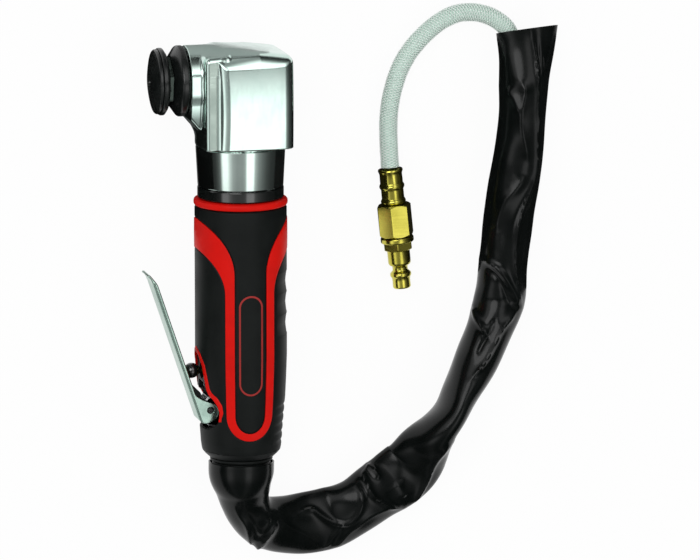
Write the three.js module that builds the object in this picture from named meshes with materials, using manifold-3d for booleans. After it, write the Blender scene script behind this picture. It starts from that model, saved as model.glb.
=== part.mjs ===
// A right-angle air tool lying on its side: a die-cast head with a grooved clamping hub, a vane motor and
// planetary gear in an over-moulded handle, a throttle lever, an exhaust over-hose and an air hose with a
// quick plug. Millimetres. +X points away from the hub, +Y from the handle to the head, +Z up.
// The origin is on the head's flat side, under the crossing of the spindle axis and the handle axis.
import * as THREE from "three";
import { mergeVertices } from "three/addons/utils/BufferGeometryUtils.js";
import Module from "manifold-3d";

const wasm = await Module();
wasm.setup();

// Clearances
const FIT = 0.15; // radial, between round pieces that are fixed in each other
const RUN = 0.25; // radial, around pieces that turn or slide
const SEAT = 0.3; // between faces that meet
const STEP_GAP = 0.6; // between faces that turn past each other

// Head casting
const HEAD_RIGHT = 25.5;
const HEAD_SKIRT = 36.2; // from the spindle axis to the lower edge
const HEAD_TOP = 18.6;
const HEAD_TOP_FALL = 4.2; // how much lower the top is at the right-hand corner
const HEAD_CORNER = 6;
const BLOCK_LEFT = -13;
const PAD_LEFT = -24.2;
const PAD_HALF = 22;
const PAD_TOP = 15.6;
const NOSE_END = -31.2;
const NOSE_RADIUS = 19.4;
const SPIGOT_WALL = 2.15;
const SPIGOT_LENGTH = 5;
const CHAMBER_RADIUS = 15.2;
const CHAMBER_LEFT = -18;

// Spindle and its bearings
const SPINDLE_RADIUS = 6.5;
const JOURNAL_RADIUS = 5;
const FRONT_BEARING = { outer: 14, inner: 6, width: 8, right: -19.7 };
const REAR_BEARING = { outer: 8, inner: 5, width: 6, left: 13 };
const CIRCLIP_WIDTH = 1.4;

// Bevel gears: the cones meet where the axes cross
const BEVEL_MODULE = 1.2;
const BEVEL_GEAR_TEETH = 20;
const BEVEL_PINION_TEETH = 14;
const BEVEL_FACE_SHARE = 0.3; // of the cone, taken by the teeth
const BEVEL_HUB_LENGTH = 4;

// Clamping hub
const HUB_INNER_RIM = 19.5;
const HUB_OUTER_RIM = 18.5;
const HUB_CAP_RADIUS = 17.8;
const INNER_RIM_WIDTH = 4.2;
const INNER_CONE = 3.7;
const GROOVE_FLOOR = 2.8; // width of the hexagon that shows between the flanges
const GROOVE_RADIUS = 14.6;
const OUTER_CONE = 1.3;
const OUTER_RIM_WIDTH = 2.5;
const HUB_CAP_EDGE = 1.6;
const HUB_CAP_DOME = 3;
const DRIVE_HEX_FLATS = 24.4;
const DRIVE_HEX_DEPTH = 1.4; // how far the hexagon reaches into the inner flange
const HUB_SCREW_RADIUS = 2.5;
const HUB_SCREW_HEAD = 4.2;
const HUB_SCREW_HEAD_DEPTH = 2.4;
const HUB_SCREW_REACH = 15;
const HUB_SCREW_KEY = 4; // across the flats of its socket

// Planetary gear
const GEAR_MODULE = 1;
const GEAR_ADDENDUM = 0.8; // of the module
const GEAR_DEDENDUM = 1.15;
const SUN_TEETH = 12;
const PLANET_TEETH = 12;
const PLANETS = 3;
const PLANET_WIDTH = 8;
const PLANET_PIN_RADIUS = 2.4;
const RING_GEAR_WALL = 1.15;
const CARRIER_RADIUS = 15.4;
const CARRIER_WIDTH = 4;
const PINION_BEARING = { outer: 11, inner: 4, width: 7 };
const PINION_HUB_LENGTH = 4.6;

// Vane motor
const CYLINDER_BORE = 15;
const CYLINDER_WALL = 3.5;
const CYLINDER_LENGTH = 62;
const CYLINDER_OFFSET = 1.2; // of the bore from the rotor's axis
const ROTOR_PLAY = 1.8; // between the rotor and the bore, all round, if the bore were central
const VANES = 4;
const VANE_THICKNESS = 2;
const VANE_DEPTH = 7;
const VANE_STANDS_OUT = 0.4;
const ROTOR_SHAFT = 4;
const ROTOR_BEARING = { outer: 9.5, width: 6 };
const END_PLATE_WIDTH = 8.6;

// Handle
const HOUSING_WALL = 2.35;
const COLLAR_TOP_WALL = 1.95;
const COLLAR_BOTTOM_WALL = 2.45;
const COLLAR_LENGTH = 22;
const NECK_BAND_LENGTH = 6;
const NECK_BAND_WALL = 2.65;
const RING_LENGTH = 4;
const RING_PROUD = 0.6; // how far it stands out of the grip
const GRIP_WALL = 4.25;
const GRIP_LENGTH = 141;
const GRIP_END_DRAW = 7.4; // how much slimmer the grip is at its end
const GRIP_WALL_AT_END = 4;
const GROOVE_PITCH = 11.8; // of the finger grooves on the right side
const GROOVE_DEPTH = 0.6;
const GROOVE_CUTTER = 12;
const GROOVE_FIRST = 42.3; // from the grip's top to the first of them

// Red inlay: one ribbon that runs down the front, round the sides and down the back
const INLAY_THICKNESS = 1;
const INLAY_PROUD = 0.3;
const INLAY_INNER_HALF = 9.2; // half the distance between the legs' inner edges
const INLAY_OUTER_HALF = 14.4;
const INLAY_FROM_TOP = 6.4; // from the grip's top to the ribbon's upper edge on the sides
const INLAY_SIDE_WIDTH = 16.4; // of the ribbon on the sides
const INLAY_INNER_SWEEP = 29.4; // from there down to where the legs' inner edges run straight
const INLAY_OUTER_SWEEP = 24;
const INLAY_LOOP_DEPTH = 9.5; // of the round foot, inside
const INLAY_FOOT_WIDTH = 4.1;
const INLAY_FROM_END = 12.4; // from the foot to the grip's end

// Throttle lever and valve
const PIN_DEPTH = 6.3; // of the lever's pin below the grip's surface
const PIN_FROM_END = 27.8; // from the grip's end to the lever's pin
const PIN_RADIUS = 1.8;
const LEVER_REST_ANGLE = 18.5; // degrees between the lever and the handle
const LEVER_TRAVEL = 12; // degrees
const LEVER_LENGTH = 84; // from the pin to the tip
const LEVER_WIDTH = 16;
const LEVER_SHEET = 1.2;
const LEVER_BACK = 7.6; // from the pin to the back of the channel
const LEVER_FLANGE = 2.6;
const LEVER_TAIL = 5;
const BUTTON_RADIUS = 4.3;
const VALVE_ABOVE_PIN = 21.4;
const STEM_RADIUS = 1.9;
const VALVE_BORE = 4.75;
const BUSH_DEPTH = 2.8; // below the housing's surface
const BUSH_LENGTH = 8;
const SEAL_WIDTH = 1.5;
const PORT_LENGTH = 3.6; // of the space on the motor's side of the valve seat
const SEAT_WIDTH = 1.5;
const SEAT_RADIUS = 2.9;
const VALVE_HEAD_RADIUS = 4.1;
const VALVE_HEAD_WIDTH = 2;
const SPRING_LENGTH = 11.4;
const SPRING_RADIUS = 3.3;
const SPRING_WIRE = 0.5;
const SPRING_CURLS = 5;
const PORT_RADIUS = 2.6;
const WEB_HALF = 6.2; // half the width of the boss between the lever's ears
const RECESS_DEPTH = 3; // below the grip's surface
const POCKET_DEPTH = 5.3; // below the pin
const TRIM_WIDTH = 2.6;
const TRIM_THICKNESS = 1.2;

// Inlet and exhaust end
const NIPPLE_RADIUS = 6;
const NIPPLE_BORE = 2;
const NIPPLE_LENGTH = 26;
const NIPPLE_BARB = 3.1;
const NIPPLE_FREE = 12.6; // how far it stands out of the housing
const EXHAUST_RADIUS = 16.4;
const EXHAUST_LENGTH = 13;
const EXHAUST_BORE = 12;
const EXHAUST_NECK = 15.4;
const EXHAUST_WAY_WALL = 1.2; // left outside the air way beside the cylinder
const EXHAUST_WAY_HALF = 4;

// Cords
const HOSE_RADIUS = 5.25;
const SLEEVE_WALL = 0.8;
const SLEEVE_ROUND = 13.85; // radius of the over-hose where it is round
const SLEEVE_ON_COLLAR = 3; // the first places of its route, where it is stretched round
const FITTING_HEIGHT = 9.9;
const FERRULE_X = 88.9;
const FERRULE_Y = -56.9;
const FITTING_TURN = 5.86; // degrees from the handle's direction
const FERRULE_LENGTH = 19.6;
const FERRULE_RADIUS = 7;
const NUT_FLATS = 17;
const NUT_LENGTH = 18.2;
const ADAPTER_FLANGE_RADIUS = 9.2;
const ADAPTER_FLANGE_LENGTH = 3.3;
const ADAPTER_FLATS = 15.2;
const ADAPTER_LENGTH = 4.2;
const PLUG_STEM_RADIUS = 6.3;
const PLUG_STEM_LENGTH = 8.6;
const PLUG_GROOVE_RADIUS = 4.2;
const PLUG_GROOVE_LENGTH = 3.6;
const PLUG_COLLAR_RADIUS = 5.9;
const PLUG_COLLAR_LENGTH = 3.4;
const PLUG_TIP_RADIUS = 5;
const PLUG_TIP_LENGTH = 6;
const PLUG_BORE = 3;
const PLUG_BORE_DEPTH = 14;

const ROUND = 32; // sides of the large turned pieces
const SMALL_ROUND = 16; // sides of the small ones

// The over-hose: x, y, z of its middle, then half its width. It starts round on the exhaust collar.
const SLEEVE_ROUTE = [
  [0, -214.6, 26, 18.2],
  [0, -222.4, 26, 17.9],
  [1.2, -229.5, 24, 15.6],
  [2.8, -237, 21.2, 13.8],
  [6, -244.5, 18, 12.8],
  [12.5, -250.8, 15.4, 14],
  [23, -254.6, 12.2, 15.8],
  [40, -255.6, 9.4, 17.5],
  [56, -253, 9.3, 17.6],
  [69, -246.8, 11.9, 16],
  [80, -240, 11.1, 16.6],
  [91, -234, 9.3, 17.6],
  [101, -226.5, 9.3, 17.6],
  [107.4, -216, 12.8, 15.3],
  [114.3, -205.4, 16.9, 10.6],
  [121.4, -195.4, 18.3, 8.4],
  [127.4, -184.2, 17.7, 9.6],
  [136.8, -167, 16.1, 12],
  [144.8, -149, 15.5, 12.8],
  [151, -132, 13.9, 14.4],
  [152.6, -113, 14.8, 13.5],
  [157, -77.5, 14.4, 14.1],
  [160.8, -54, 14.7, 13.8],
  [163, -32, 15.3, 13],
  [164.2, -10, 14.7, 13.8],
  [164.9, 4, 12.9, 15.6],
  [165.3, 15.6, 9.9, 17.4],
];

// The air hose after it leaves the middle of the over-hose, to the hose ferrule.
const HOSE_FREE_ROUTE = [
  [162.2, 1, 12.6],
  [159, 11, 11],
  [155.2, 19.6, 9.4],
  [149, 24.8, 8],
  [141.6, 27.8, 6.8],
  [134.7, 28.6, 6],
  [127.6, 27.9, 5.6],
  [119.8, 24.7, 5.5],
  [112.1, 19.3, 5.5],
  [105.6, 13.2, 5.5],
  [99.7, 5.8, 5.5],
  [95.2, -2.3, 5.6],
  [92, -11.2, 5.9],
  [89.8, -20, 6.4],
  [88.7, -28.2, 7.1],
  [88.3, -37.6, 8.2],
  [88.4, -47, 9.3],
  [88.83, -56, 9.9],
];

// Radii that follow from the sizes, from the motor outwards.
const MOTOR_RADIUS = CYLINDER_BORE + CYLINDER_WALL; // of the cylinder and its end plates
const ROTOR_RADIUS = CYLINDER_BORE - ROTOR_PLAY;
const HOUSING_RADIUS = MOTOR_RADIUS + FIT + HOUSING_WALL;
const GRIP_RADIUS = HOUSING_RADIUS + FIT + GRIP_WALL;
const RING_RADIUS = GRIP_RADIUS + RING_PROUD;
const GRIP_END_RADIUS = GRIP_RADIUS - GRIP_END_DRAW;
const HEAD_HALF = RING_RADIUS; // from the axis to the flat side: the ring and the head both touch down
const COLLAR_BOTTOM_RADIUS = HOUSING_RADIUS + FIT + COLLAR_BOTTOM_WALL;
const NECK_BAND_RADIUS = HOUSING_RADIUS + FIT + NECK_BAND_WALL;
const RING_GEAR_PITCH = GEAR_MODULE * (SUN_TEETH / 2 + PLANET_TEETH);
const RING_WALL_RADIUS = RING_GEAR_PITCH + GEAR_DEDENDUM * GEAR_MODULE + RING_GEAR_WALL;
const SPIGOT_RADIUS = RING_WALL_RADIUS + FIT + SPIGOT_WALL;
const COLLAR_TOP_RADIUS = SPIGOT_RADIUS + FIT + COLLAR_TOP_WALL;
const NECK_RADIUS = COLLAR_TOP_RADIUS - 0.1;
const PIN_X = PIN_DEPTH - GRIP_RADIUS;
const BUSH_LEFT = BUSH_DEPTH - HOUSING_RADIUS;
const RECESS_FLOOR = RECESS_DEPTH - GRIP_RADIUS;
const POCKET_FLOOR = PIN_X + POCKET_DEPTH;
const SLOT_FLOOR = PIN_X - 0.4;

// Places that follow from the sizes. Along the handle, y runs down from the spindle axis at 0.
const SPIGOT_END = -(HEAD_SKIRT + SPIGOT_LENGTH + 0.8);
const COLLAR_TOP = -(HEAD_SKIRT + 0.8 + SEAT);
const COLLAR_END = COLLAR_TOP - COLLAR_LENGTH;
const BAND_TOP = COLLAR_END - SEAT;
const BAND_END = BAND_TOP - NECK_BAND_LENGTH;
const RING_TOP = BAND_END - SEAT;
const RING_END = RING_TOP - RING_LENGTH;
const GRIP_TOP = RING_END - SEAT;
const GRIP_END = GRIP_TOP - GRIP_LENGTH;
const HOUSING_TOP = SPIGOT_END - SEAT;
const HOUSING_END = GRIP_END + GRIP_WALL_AT_END + SEAT;
const PIN_Y = GRIP_END + PIN_FROM_END;
const VALVE_Y = PIN_Y + VALVE_ABOVE_PIN;

const BEVEL_GEAR_PITCH = (BEVEL_MODULE * BEVEL_GEAR_TEETH) / 2;
const BEVEL_PINION_PITCH = (BEVEL_MODULE * BEVEL_PINION_TEETH) / 2;
const BEVEL_GEAR_BACK = BEVEL_PINION_PITCH + BEVEL_HUB_LENGTH;
const PINION_BACK = -(BEVEL_GEAR_PITCH + PINION_HUB_LENGTH);
const PINION_BEARING_TOP = PINION_BACK - STEP_GAP;
const PINION_BEARING_END = PINION_BEARING_TOP - PINION_BEARING.width;
const CARRIER_TOP = PINION_BEARING_END - SEAT - STEP_GAP;
const CARRIER_END = CARRIER_TOP - CARRIER_WIDTH;
const PLANET_TOP = CARRIER_END - STEP_GAP;
const PLANET_END = PLANET_TOP - PLANET_WIDTH;
const RING_GEAR_TOP = CARRIER_END - 0.2;
const RING_GEAR_END = SPIGOT_END + 0.2;
const RING_TEETH = SUN_TEETH + 2 * PLANET_TEETH;
const ORBIT = (GEAR_MODULE * (SUN_TEETH + PLANET_TEETH)) / 2;
const SUN_END = PLANET_END - SEAT;

const FRONT_PLATE_TOP = HOUSING_TOP - 0.2;
const FRONT_PLATE_END = FRONT_PLATE_TOP - END_PLATE_WIDTH;
const CYLINDER_TOP = FRONT_PLATE_END - SEAT;
const CYLINDER_END = CYLINDER_TOP - CYLINDER_LENGTH;
const REAR_PLATE_TOP = CYLINDER_END - SEAT;
const REAR_PLATE_END = REAR_PLATE_TOP - END_PLATE_WIDTH;
const MOTOR_FLOOR = REAR_PLATE_END - SEAT;

const HUB_BACK = NOSE_END - STEP_GAP;
const INNER_RIM_LEFT = HUB_BACK - INNER_RIM_WIDTH;
const INNER_FACE = INNER_RIM_LEFT - INNER_CONE;
const OUTER_FACE = INNER_FACE - GROOVE_FLOOR;
const OUTER_RIM_RIGHT = OUTER_FACE - OUTER_CONE;
const OUTER_BACK = OUTER_RIM_RIGHT - OUTER_RIM_WIDTH;
const CAP_RIGHT = OUTER_BACK - SEAT;
const CAP_LEFT = CAP_RIGHT - HUB_CAP_EDGE - HUB_CAP_DOME;
const SPINDLE_LEFT = CAP_RIGHT + SEAT;

const BUSH_RIGHT = BUSH_LEFT + BUSH_LENGTH;
const SEAL_LEFT = BUSH_RIGHT + SEAT;
const SEAL_RIGHT = SEAL_LEFT + SEAL_WIDTH;
const SEAT_LEFT = SEAL_RIGHT + PORT_LENGTH;
const SEAT_RIGHT = SEAT_LEFT + SEAT_WIDTH;
const VALVE_HEAD_LEFT = SEAT_RIGHT + SEAT;
const SPRING_LEFT = VALVE_HEAD_LEFT + VALVE_HEAD_WIDTH + SEAT;
const VALVE_BORE_END = SPRING_LEFT + SPRING_LENGTH + SEAT;
const EXHAUST_WAY_END = HOUSING_END + 6;
const EXHAUST_TOP = HOUSING_END - SEAT;
const EXHAUST_END = EXHAUST_TOP - EXHAUST_LENGTH;
const NIPPLE_END = HOUSING_END - NIPPLE_FREE;
const NIPPLE_TOP = NIPPLE_END + NIPPLE_LENGTH;

const radians = (degrees) => (degrees * Math.PI) / 180;

// The button's middle: it stands SEAT away from the inside of the lever's channel.
function buttonAt(leverAngle) {
  const lean = radians(leverAngle);
  const reach = VALVE_Y - PIN_Y;
  const face = LEVER_SHEET - LEVER_BACK + BUTTON_RADIUS + SEAT;
  return PIN_X + (face - reach * Math.sin(lean)) / Math.cos(lean);
}

const BUTTON_X = buttonAt(LEVER_REST_ANGLE);

// --- Solids -------------------------------------------------------------------------------------------

// Six times the volume that the faces enclose: negative where they face inwards.
function signedVolume(points, corners) {
  const [a, b, c] = [0, 1, 2].map(() => new THREE.Vector3());
  let sum = 0;
  for (let i = 0; i < corners.length; i += 3) {
    a.fromBufferAttribute(points, corners[i]);
    b.fromBufferAttribute(points, corners[i + 1]);
    c.fromBufferAttribute(points, corners[i + 2]);
    sum += a.dot(b.cross(c));
  }
  return sum;
}

// A closed geometry as a solid that can be cut and joined, with its faces turned outwards.
function solidOf(geometry) {
  const bare = geometry.clone();
  bare.deleteAttribute("normal");
  bare.deleteAttribute("uv");
  const merged = mergeVertices(bare, 1e-4);
  const corners = [];
  for (let i = 0; i < merged.index.count; i += 3) {
    const a = merged.index.getX(i);
    const b = merged.index.getX(i + 1);
    const c = merged.index.getX(i + 2);
    if (a !== b && b !== c && c !== a) corners.push(a, b, c);
  }
  if (signedVolume(merged.attributes.position, corners) < 0) corners.reverse();
  const mesh = new wasm.Mesh({
    numProp: 3,
    vertProperties: new Float32Array(merged.attributes.position.array),
    triVerts: new Uint32Array(corners),
  });
  return new wasm.Manifold(mesh);
}

function geometryOf(body) {
  const mesh = body.getMesh();
  const geometry = new THREE.BufferGeometry();
  geometry.setAttribute("position", new THREE.BufferAttribute(mesh.vertProperties, 3));
  geometry.setIndex(new THREE.BufferAttribute(mesh.triVerts, 1));
  const flat = geometry.toNonIndexed();
  flat.computeVertexNormals();
  return flat;
}

const combined = (base, others, step) => geometryOf(others.map(solidOf).reduce(step, solidOf(base)));
const cut = (base, ...tools) => combined(base, tools, (all, one) => all.subtract(one));
const join = (base, ...more) => combined(base, more, (all, one) => all.add(one));
const common = (base, ...more) => combined(base, more, (all, one) => all.intersect(one));

// A turned piece about the handle axis. Profile points are [radius, y], counterclockwise.
function turned(profile, sides = ROUND) {
  const points = profile.map(([radius, y]) => new THREE.Vector2(radius, y));
  if (points[0].x > 0) points.push(points[0].clone());
  return new THREE.LatheGeometry(points, sides);
}

// A turned piece about the spindle axis. Profile points are [radius, x].
function turnedAlongX(profile, sides = ROUND) {
  return turned(profile, sides).rotateZ(-Math.PI / 2);
}

// A rod or a hole from one place on the axis to another.
function rod(radius, low, high, sides = SMALL_ROUND) {
  return turned([[0, low], [radius, low], [radius, high], [0, high]], sides);
}

function rodAlongX(radius, left, right, sides = SMALL_ROUND) {
  return rod(radius, left, right, sides).rotateZ(-Math.PI / 2);
}

function ring(outer, inner, low, high, sides = ROUND) {
  return turned([[inner, low], [outer, low], [outer, high], [inner, high]], sides);
}

function ringAlongX(outer, inner, left, right, sides = ROUND) {
  return ring(outer, inner, left, right, sides).rotateZ(-Math.PI / 2);
}

function box(low, high) {
  const size = high.map((value, i) => value - low[i]);
  const middle = high.map((value, i) => (value + low[i]) / 2);
  return new THREE.BoxGeometry(...size).translate(...middle);
}

function prism(shape, depth, curveSteps = 6) {
  return new THREE.ExtrudeGeometry(shape, { depth, bevelEnabled: false, curveSegments: curveSteps });
}

const shapeOf = (points) => new THREE.Shape(points.map(([x, y]) => new THREE.Vector2(x, y)));

// A flat outline in x and y, extruded along z around the middle plane.
const plate = (points, half) => prism(shapeOf(points), 2 * half).translate(0, 0, -half);

// A hexagonal bar about the handle axis, with a flat facing down.
function hexBar(flats, low, high) {
  const corner = flats / 2 / Math.cos(Math.PI / 6);
  const points = [];
  for (let i = 0; i < 6; i++) {
    const angle = (i * Math.PI) / 3;
    points.push([corner * Math.cos(angle), corner * Math.sin(angle)]);
  }
  return prism(shapeOf(points), high - low)
    .rotateX(-Math.PI / 2)
    .translate(0, low, 0);
}

const hexBarAlongX = (flats, left, right) => hexBar(flats, left, right).rotateZ(-Math.PI / 2);

// Four points a tooth: a gear's outline about its own middle. A negative height points the teeth inwards.
function gearOutline(teeth, pitchRadius, tipHeight, rootDepth, phase, share = 0.36) {
  const points = [];
  const half = (share * Math.PI) / teeth;
  for (let i = 0; i < teeth; i++) {
    const middle = phase + (i * 2 * Math.PI) / teeth;
    const corners = [
      [-1.55, -rootDepth],
      [-0.5, tipHeight],
      [0.5, tipHeight],
      [1.55, -rootDepth],
    ];
    for (const [side, height] of corners) {
      const angle = middle + side * half;
      const radius = pitchRadius + height;
      points.push([radius * Math.cos(angle), radius * Math.sin(angle)]);
    }
  }
  return points;
}

function spurGear(teeth, phase, low, high) {
  const pitch = (GEAR_MODULE * teeth) / 2;
  const outline = gearOutline(teeth, pitch, GEAR_ADDENDUM * GEAR_MODULE, GEAR_DEDENDUM * GEAR_MODULE, phase);
  return prism(shapeOf(outline), high - low)
    .rotateX(-Math.PI / 2)
    .translate(0, low, 0);
}

// A ribbon of points joined into one closed body: stations of equal length, each a closed loop of points.
function loft(stations, closed) {
  const count = stations[0].length;
  const positions = stations.flat().flatMap((point) => [point.x, point.y, point.z]);
  const index = [];
  const last = closed ? stations.length : stations.length - 1;
  for (let i = 0; i < last; i++) {
    const here = i * count;
    const next = ((i + 1) % stations.length) * count;
    for (let j = 0; j < count; j++) {
      const k = (j + 1) % count;
      index.push(here + j, next + j, next + k, here + j, next + k, here + k);
    }
  }
  const geometry = new THREE.BufferGeometry();
  geometry.setAttribute("position", new THREE.Float32BufferAttribute(positions, 3));
  geometry.setIndex(index);
  return geometry;
}

// Bevel teeth between the large end of the cone and the small one, scaled towards the point where it ends.
function bevelTeeth(teeth, pitchRadius, coneDepth, tipHeight, rootDepth, phase) {
  const outline = gearOutline(teeth, pitchRadius, tipHeight, rootDepth, phase);
  const small = 1 - BEVEL_FACE_SHARE;
  const loops = [1, small].map((scale) =>
    outline.map(([x, y]) => new THREE.Vector3(x * scale, coneDepth * scale, y * scale)),
  );
  const sides = loft(loops, false);
  const flat = THREE.ShapeUtils.triangulateShape(
    outline.map(([x, y]) => new THREE.Vector2(x, y)),
    [],
  );
  const index = [...sides.index.array];
  for (const [a, b, c] of flat) {
    index.push(a, b, c);
    index.push(a + outline.length, c + outline.length, b + outline.length);
  }
  sides.setIndex(index);
  return sides;
}

// --- Finishes -----------------------------------------------------------------------------------------

const FINISHES = {
  castAluminium: { color: 0xc8cfcd, roughness: 0.28, metalness: 1 },
  polishedSteel: { color: 0xb9bdbb, roughness: 0.18, metalness: 1 },
  steel: { color: 0x9a9c9e, roughness: 0.35, metalness: 1 },
  blackSteel: { color: 0x191b1b, roughness: 0.35, metalness: 0.6 },
  leverSteel: { color: 0xb4cbc2, roughness: 0.3, metalness: 0.9 },
  housing: { color: 0x8f9394, roughness: 0.45, metalness: 0.9 },
  blackRubber: { color: 0x151818, roughness: 0.6, metalness: 0 },
  glossBlack: { color: 0x0c0d0d, roughness: 0.15, metalness: 0 },
  redRubber: { color: 0xd81608, roughness: 0.45, metalness: 0 },
  sleeveRubber: { color: 0x0b0d0c, roughness: 0.3, metalness: 0 },
  clearHose: { color: 0xd5e2dc, roughness: 0.25, metalness: 0 },
  brass: { color: 0xc79a3c, roughness: 0.25, metalness: 1 },
  vane: { color: 0x6b4a2c, roughness: 0.7, metalness: 0 },
};

const tool = new THREE.Group();
const onAxis = new THREE.Group();
onAxis.position.z = HEAD_HALF;
tool.add(onAxis);

function place(name, geometry, finish, parent = onAxis) {
  const material = new THREE.MeshStandardMaterial(FINISHES[finish]);
  const mesh = new THREE.Mesh(geometryOf(solidOf(geometry)), material);
  mesh.name = name;
  parent.add(mesh);
  return mesh;
}

// --- Head ---------------------------------------------------------------------------------------------

// The raised right-hand block: three outlines, seen from above, from the side and from below, meet in it.
function headBlock() {
  const fromAbove = new THREE.Shape();
  const cornerTop = HEAD_TOP - HEAD_TOP_FALL;
  fromAbove.moveTo(BLOCK_LEFT, -HEAD_SKIRT);
  fromAbove.lineTo(HEAD_RIGHT, -HEAD_SKIRT);
  fromAbove.lineTo(HEAD_RIGHT, cornerTop - HEAD_CORNER);
  fromAbove.quadraticCurveTo(HEAD_RIGHT, cornerTop - 0.4, HEAD_RIGHT - HEAD_CORNER, cornerTop);
  fromAbove.quadraticCurveTo(0, HEAD_TOP - 1, BLOCK_LEFT, HEAD_TOP - 0.3);
  const block = prism(fromAbove, 2 * HEAD_HALF).translate(0, 0, -HEAD_HALF);
  return common(block, sideOutline(HEAD_HALF, HEAD_TOP, 10), endOutline());
}

// A cross-section of the head with a rounded top, run along the spindle and tipped with the top's fall.
function sideOutline(half, top, topHalf) {
  const shoulder = top - 10;
  const long = 120;
  const shape = new THREE.Shape();
  shape.moveTo(-half, -long / 2);
  shape.lineTo(half, -long / 2);
  shape.lineTo(half, shoulder);
  shape.quadraticCurveTo(half, top - 1, topHalf, top);
  shape.lineTo(-topHalf, top);
  shape.quadraticCurveTo(-half, top - 1, -half, shoulder);
  return prism(shape, long)
    .translate(0, 0, -long / 2)
    .rotateY(Math.PI / 2)
    .rotateZ(-Math.atan2(HEAD_TOP_FALL, HEAD_RIGHT - NOSE_END) / 2);
}

// The block seen along the handle: round right-hand edges.
function endOutline() {
  const shape = new THREE.Shape();
  shape.moveTo(BLOCK_LEFT, -HEAD_HALF + 1.2);
  shape.lineTo(BLOCK_LEFT + 1.2, -HEAD_HALF);
  shape.lineTo(HEAD_RIGHT - HEAD_CORNER, -HEAD_HALF);
  shape.absarc(HEAD_RIGHT - HEAD_CORNER, -HEAD_HALF + HEAD_CORNER, HEAD_CORNER, -Math.PI / 2, 0, false);
  shape.absarc(HEAD_RIGHT - HEAD_CORNER, HEAD_HALF - HEAD_CORNER, HEAD_CORNER, 0, Math.PI / 2, false);
  shape.lineTo(BLOCK_LEFT + 1.2, HEAD_HALF);
  shape.lineTo(BLOCK_LEFT, HEAD_HALF - 1.2);
  return prism(shape, 4 * HEAD_SKIRT)
    .translate(0, 0, -2 * HEAD_SKIRT)
    .rotateX(-Math.PI / 2);
}

// The lower step between the block and the nose. Its far edge is drawn in, in line with the round neck.
function headPad() {
  const outline = [
    [BLOCK_LEFT + 1, -PAD_HALF],
    [PAD_LEFT + 4.4, -PAD_HALF],
    [PAD_LEFT, -0.3 * PAD_HALF],
    [PAD_LEFT, PAD_HALF - 2.4],
    [PAD_LEFT + 1.4, PAD_HALF],
    [BLOCK_LEFT + 1, PAD_HALF],
  ];
  return prism(shapeOf(outline), PAD_TOP + HEAD_SKIRT)
    .rotateX(-Math.PI / 2)
    .scale(1, 1, -1)
    .translate(0, -HEAD_SKIRT, 0);
}

// The spindle's nose, with its flat top, and the small slope below it that runs into the neck.
function headNose() {
  const body = box([NOSE_END, -NOSE_RADIUS, -NOSE_RADIUS], [BLOCK_LEFT + 1, HEAD_TOP + 2, NOSE_RADIUS]);
  const low = rodAlongX(NOSE_RADIUS + 0.6, NOSE_END, BLOCK_LEFT + 1, ROUND);
  const upper = box([NOSE_END - 1, -4, -HEAD_HALF], [BLOCK_LEFT + 2, HEAD_TOP + 3, HEAD_HALF]);
  const rounded = common(body, sideOutline(NOSE_RADIUS, HEAD_TOP + 0.4, 9));
  return common(rounded, join(low, upper));
}

function headHeel() {
  const outline = [
    [NOSE_END + 0.6, -10],
    [NOSE_END + 0.6, -NOSE_RADIUS],
    [-NECK_RADIUS - 1.6, -24.6],
    [-NECK_RADIUS + 0.1, -29],
    [-NECK_RADIUS + 0.1, -HEAD_SKIRT],
    [BLOCK_LEFT + 1, -HEAD_SKIRT],
    [BLOCK_LEFT + 1, -10],
  ];
  return plate(outline, 9);
}

function headHousing() {
  const neck = turned([
    [0, -HEAD_SKIRT - 0.8],
    [NECK_RADIUS, -HEAD_SKIRT - 0.8],
    [NECK_RADIUS, -27],
    [NECK_RADIUS - 7, -15],
    [0, -15],
  ]);
  const spigot = rod(SPIGOT_RADIUS, SPIGOT_END, -HEAD_SKIRT, ROUND);
  const casting = join(headBlock(), headPad(), headNose(), headHeel(), neck, spigot);
  const bearing = FRONT_BEARING;
  const chamberRight = BEVEL_GEAR_BACK + STEP_GAP;
  const seatRight = REAR_BEARING.left + REAR_BEARING.width + SEAT;
  return cut(
    casting,
    rodAlongX(CHAMBER_RADIUS, CHAMBER_LEFT, chamberRight, ROUND),
    rodAlongX(bearing.outer + FIT, NOSE_END - 1, CHAMBER_LEFT + 1, ROUND),
    rodAlongX(REAR_BEARING.outer + FIT, chamberRight - 1, seatRight),
    rod(RING_WALL_RADIUS + FIT, SPIGOT_END - 1, RING_GEAR_TOP + SEAT, ROUND),
    rod(CARRIER_RADIUS + RUN, RING_GEAR_TOP - 1, CARRIER_TOP + STEP_GAP, ROUND),
    rod(PINION_BEARING.outer + FIT, CARRIER_TOP - 1, PINION_BEARING_TOP + 0.2, ROUND),
    rod(PINION_BEARING.outer - 1.6, PINION_BEARING_TOP - 1, -BEVEL_GEAR_PITCH + 1, ROUND),
  );
}

place("head_housing", headHousing(), "castAluminium");

// --- Spindle, bevel gear and bearings -----------------------------------------------------------------

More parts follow.
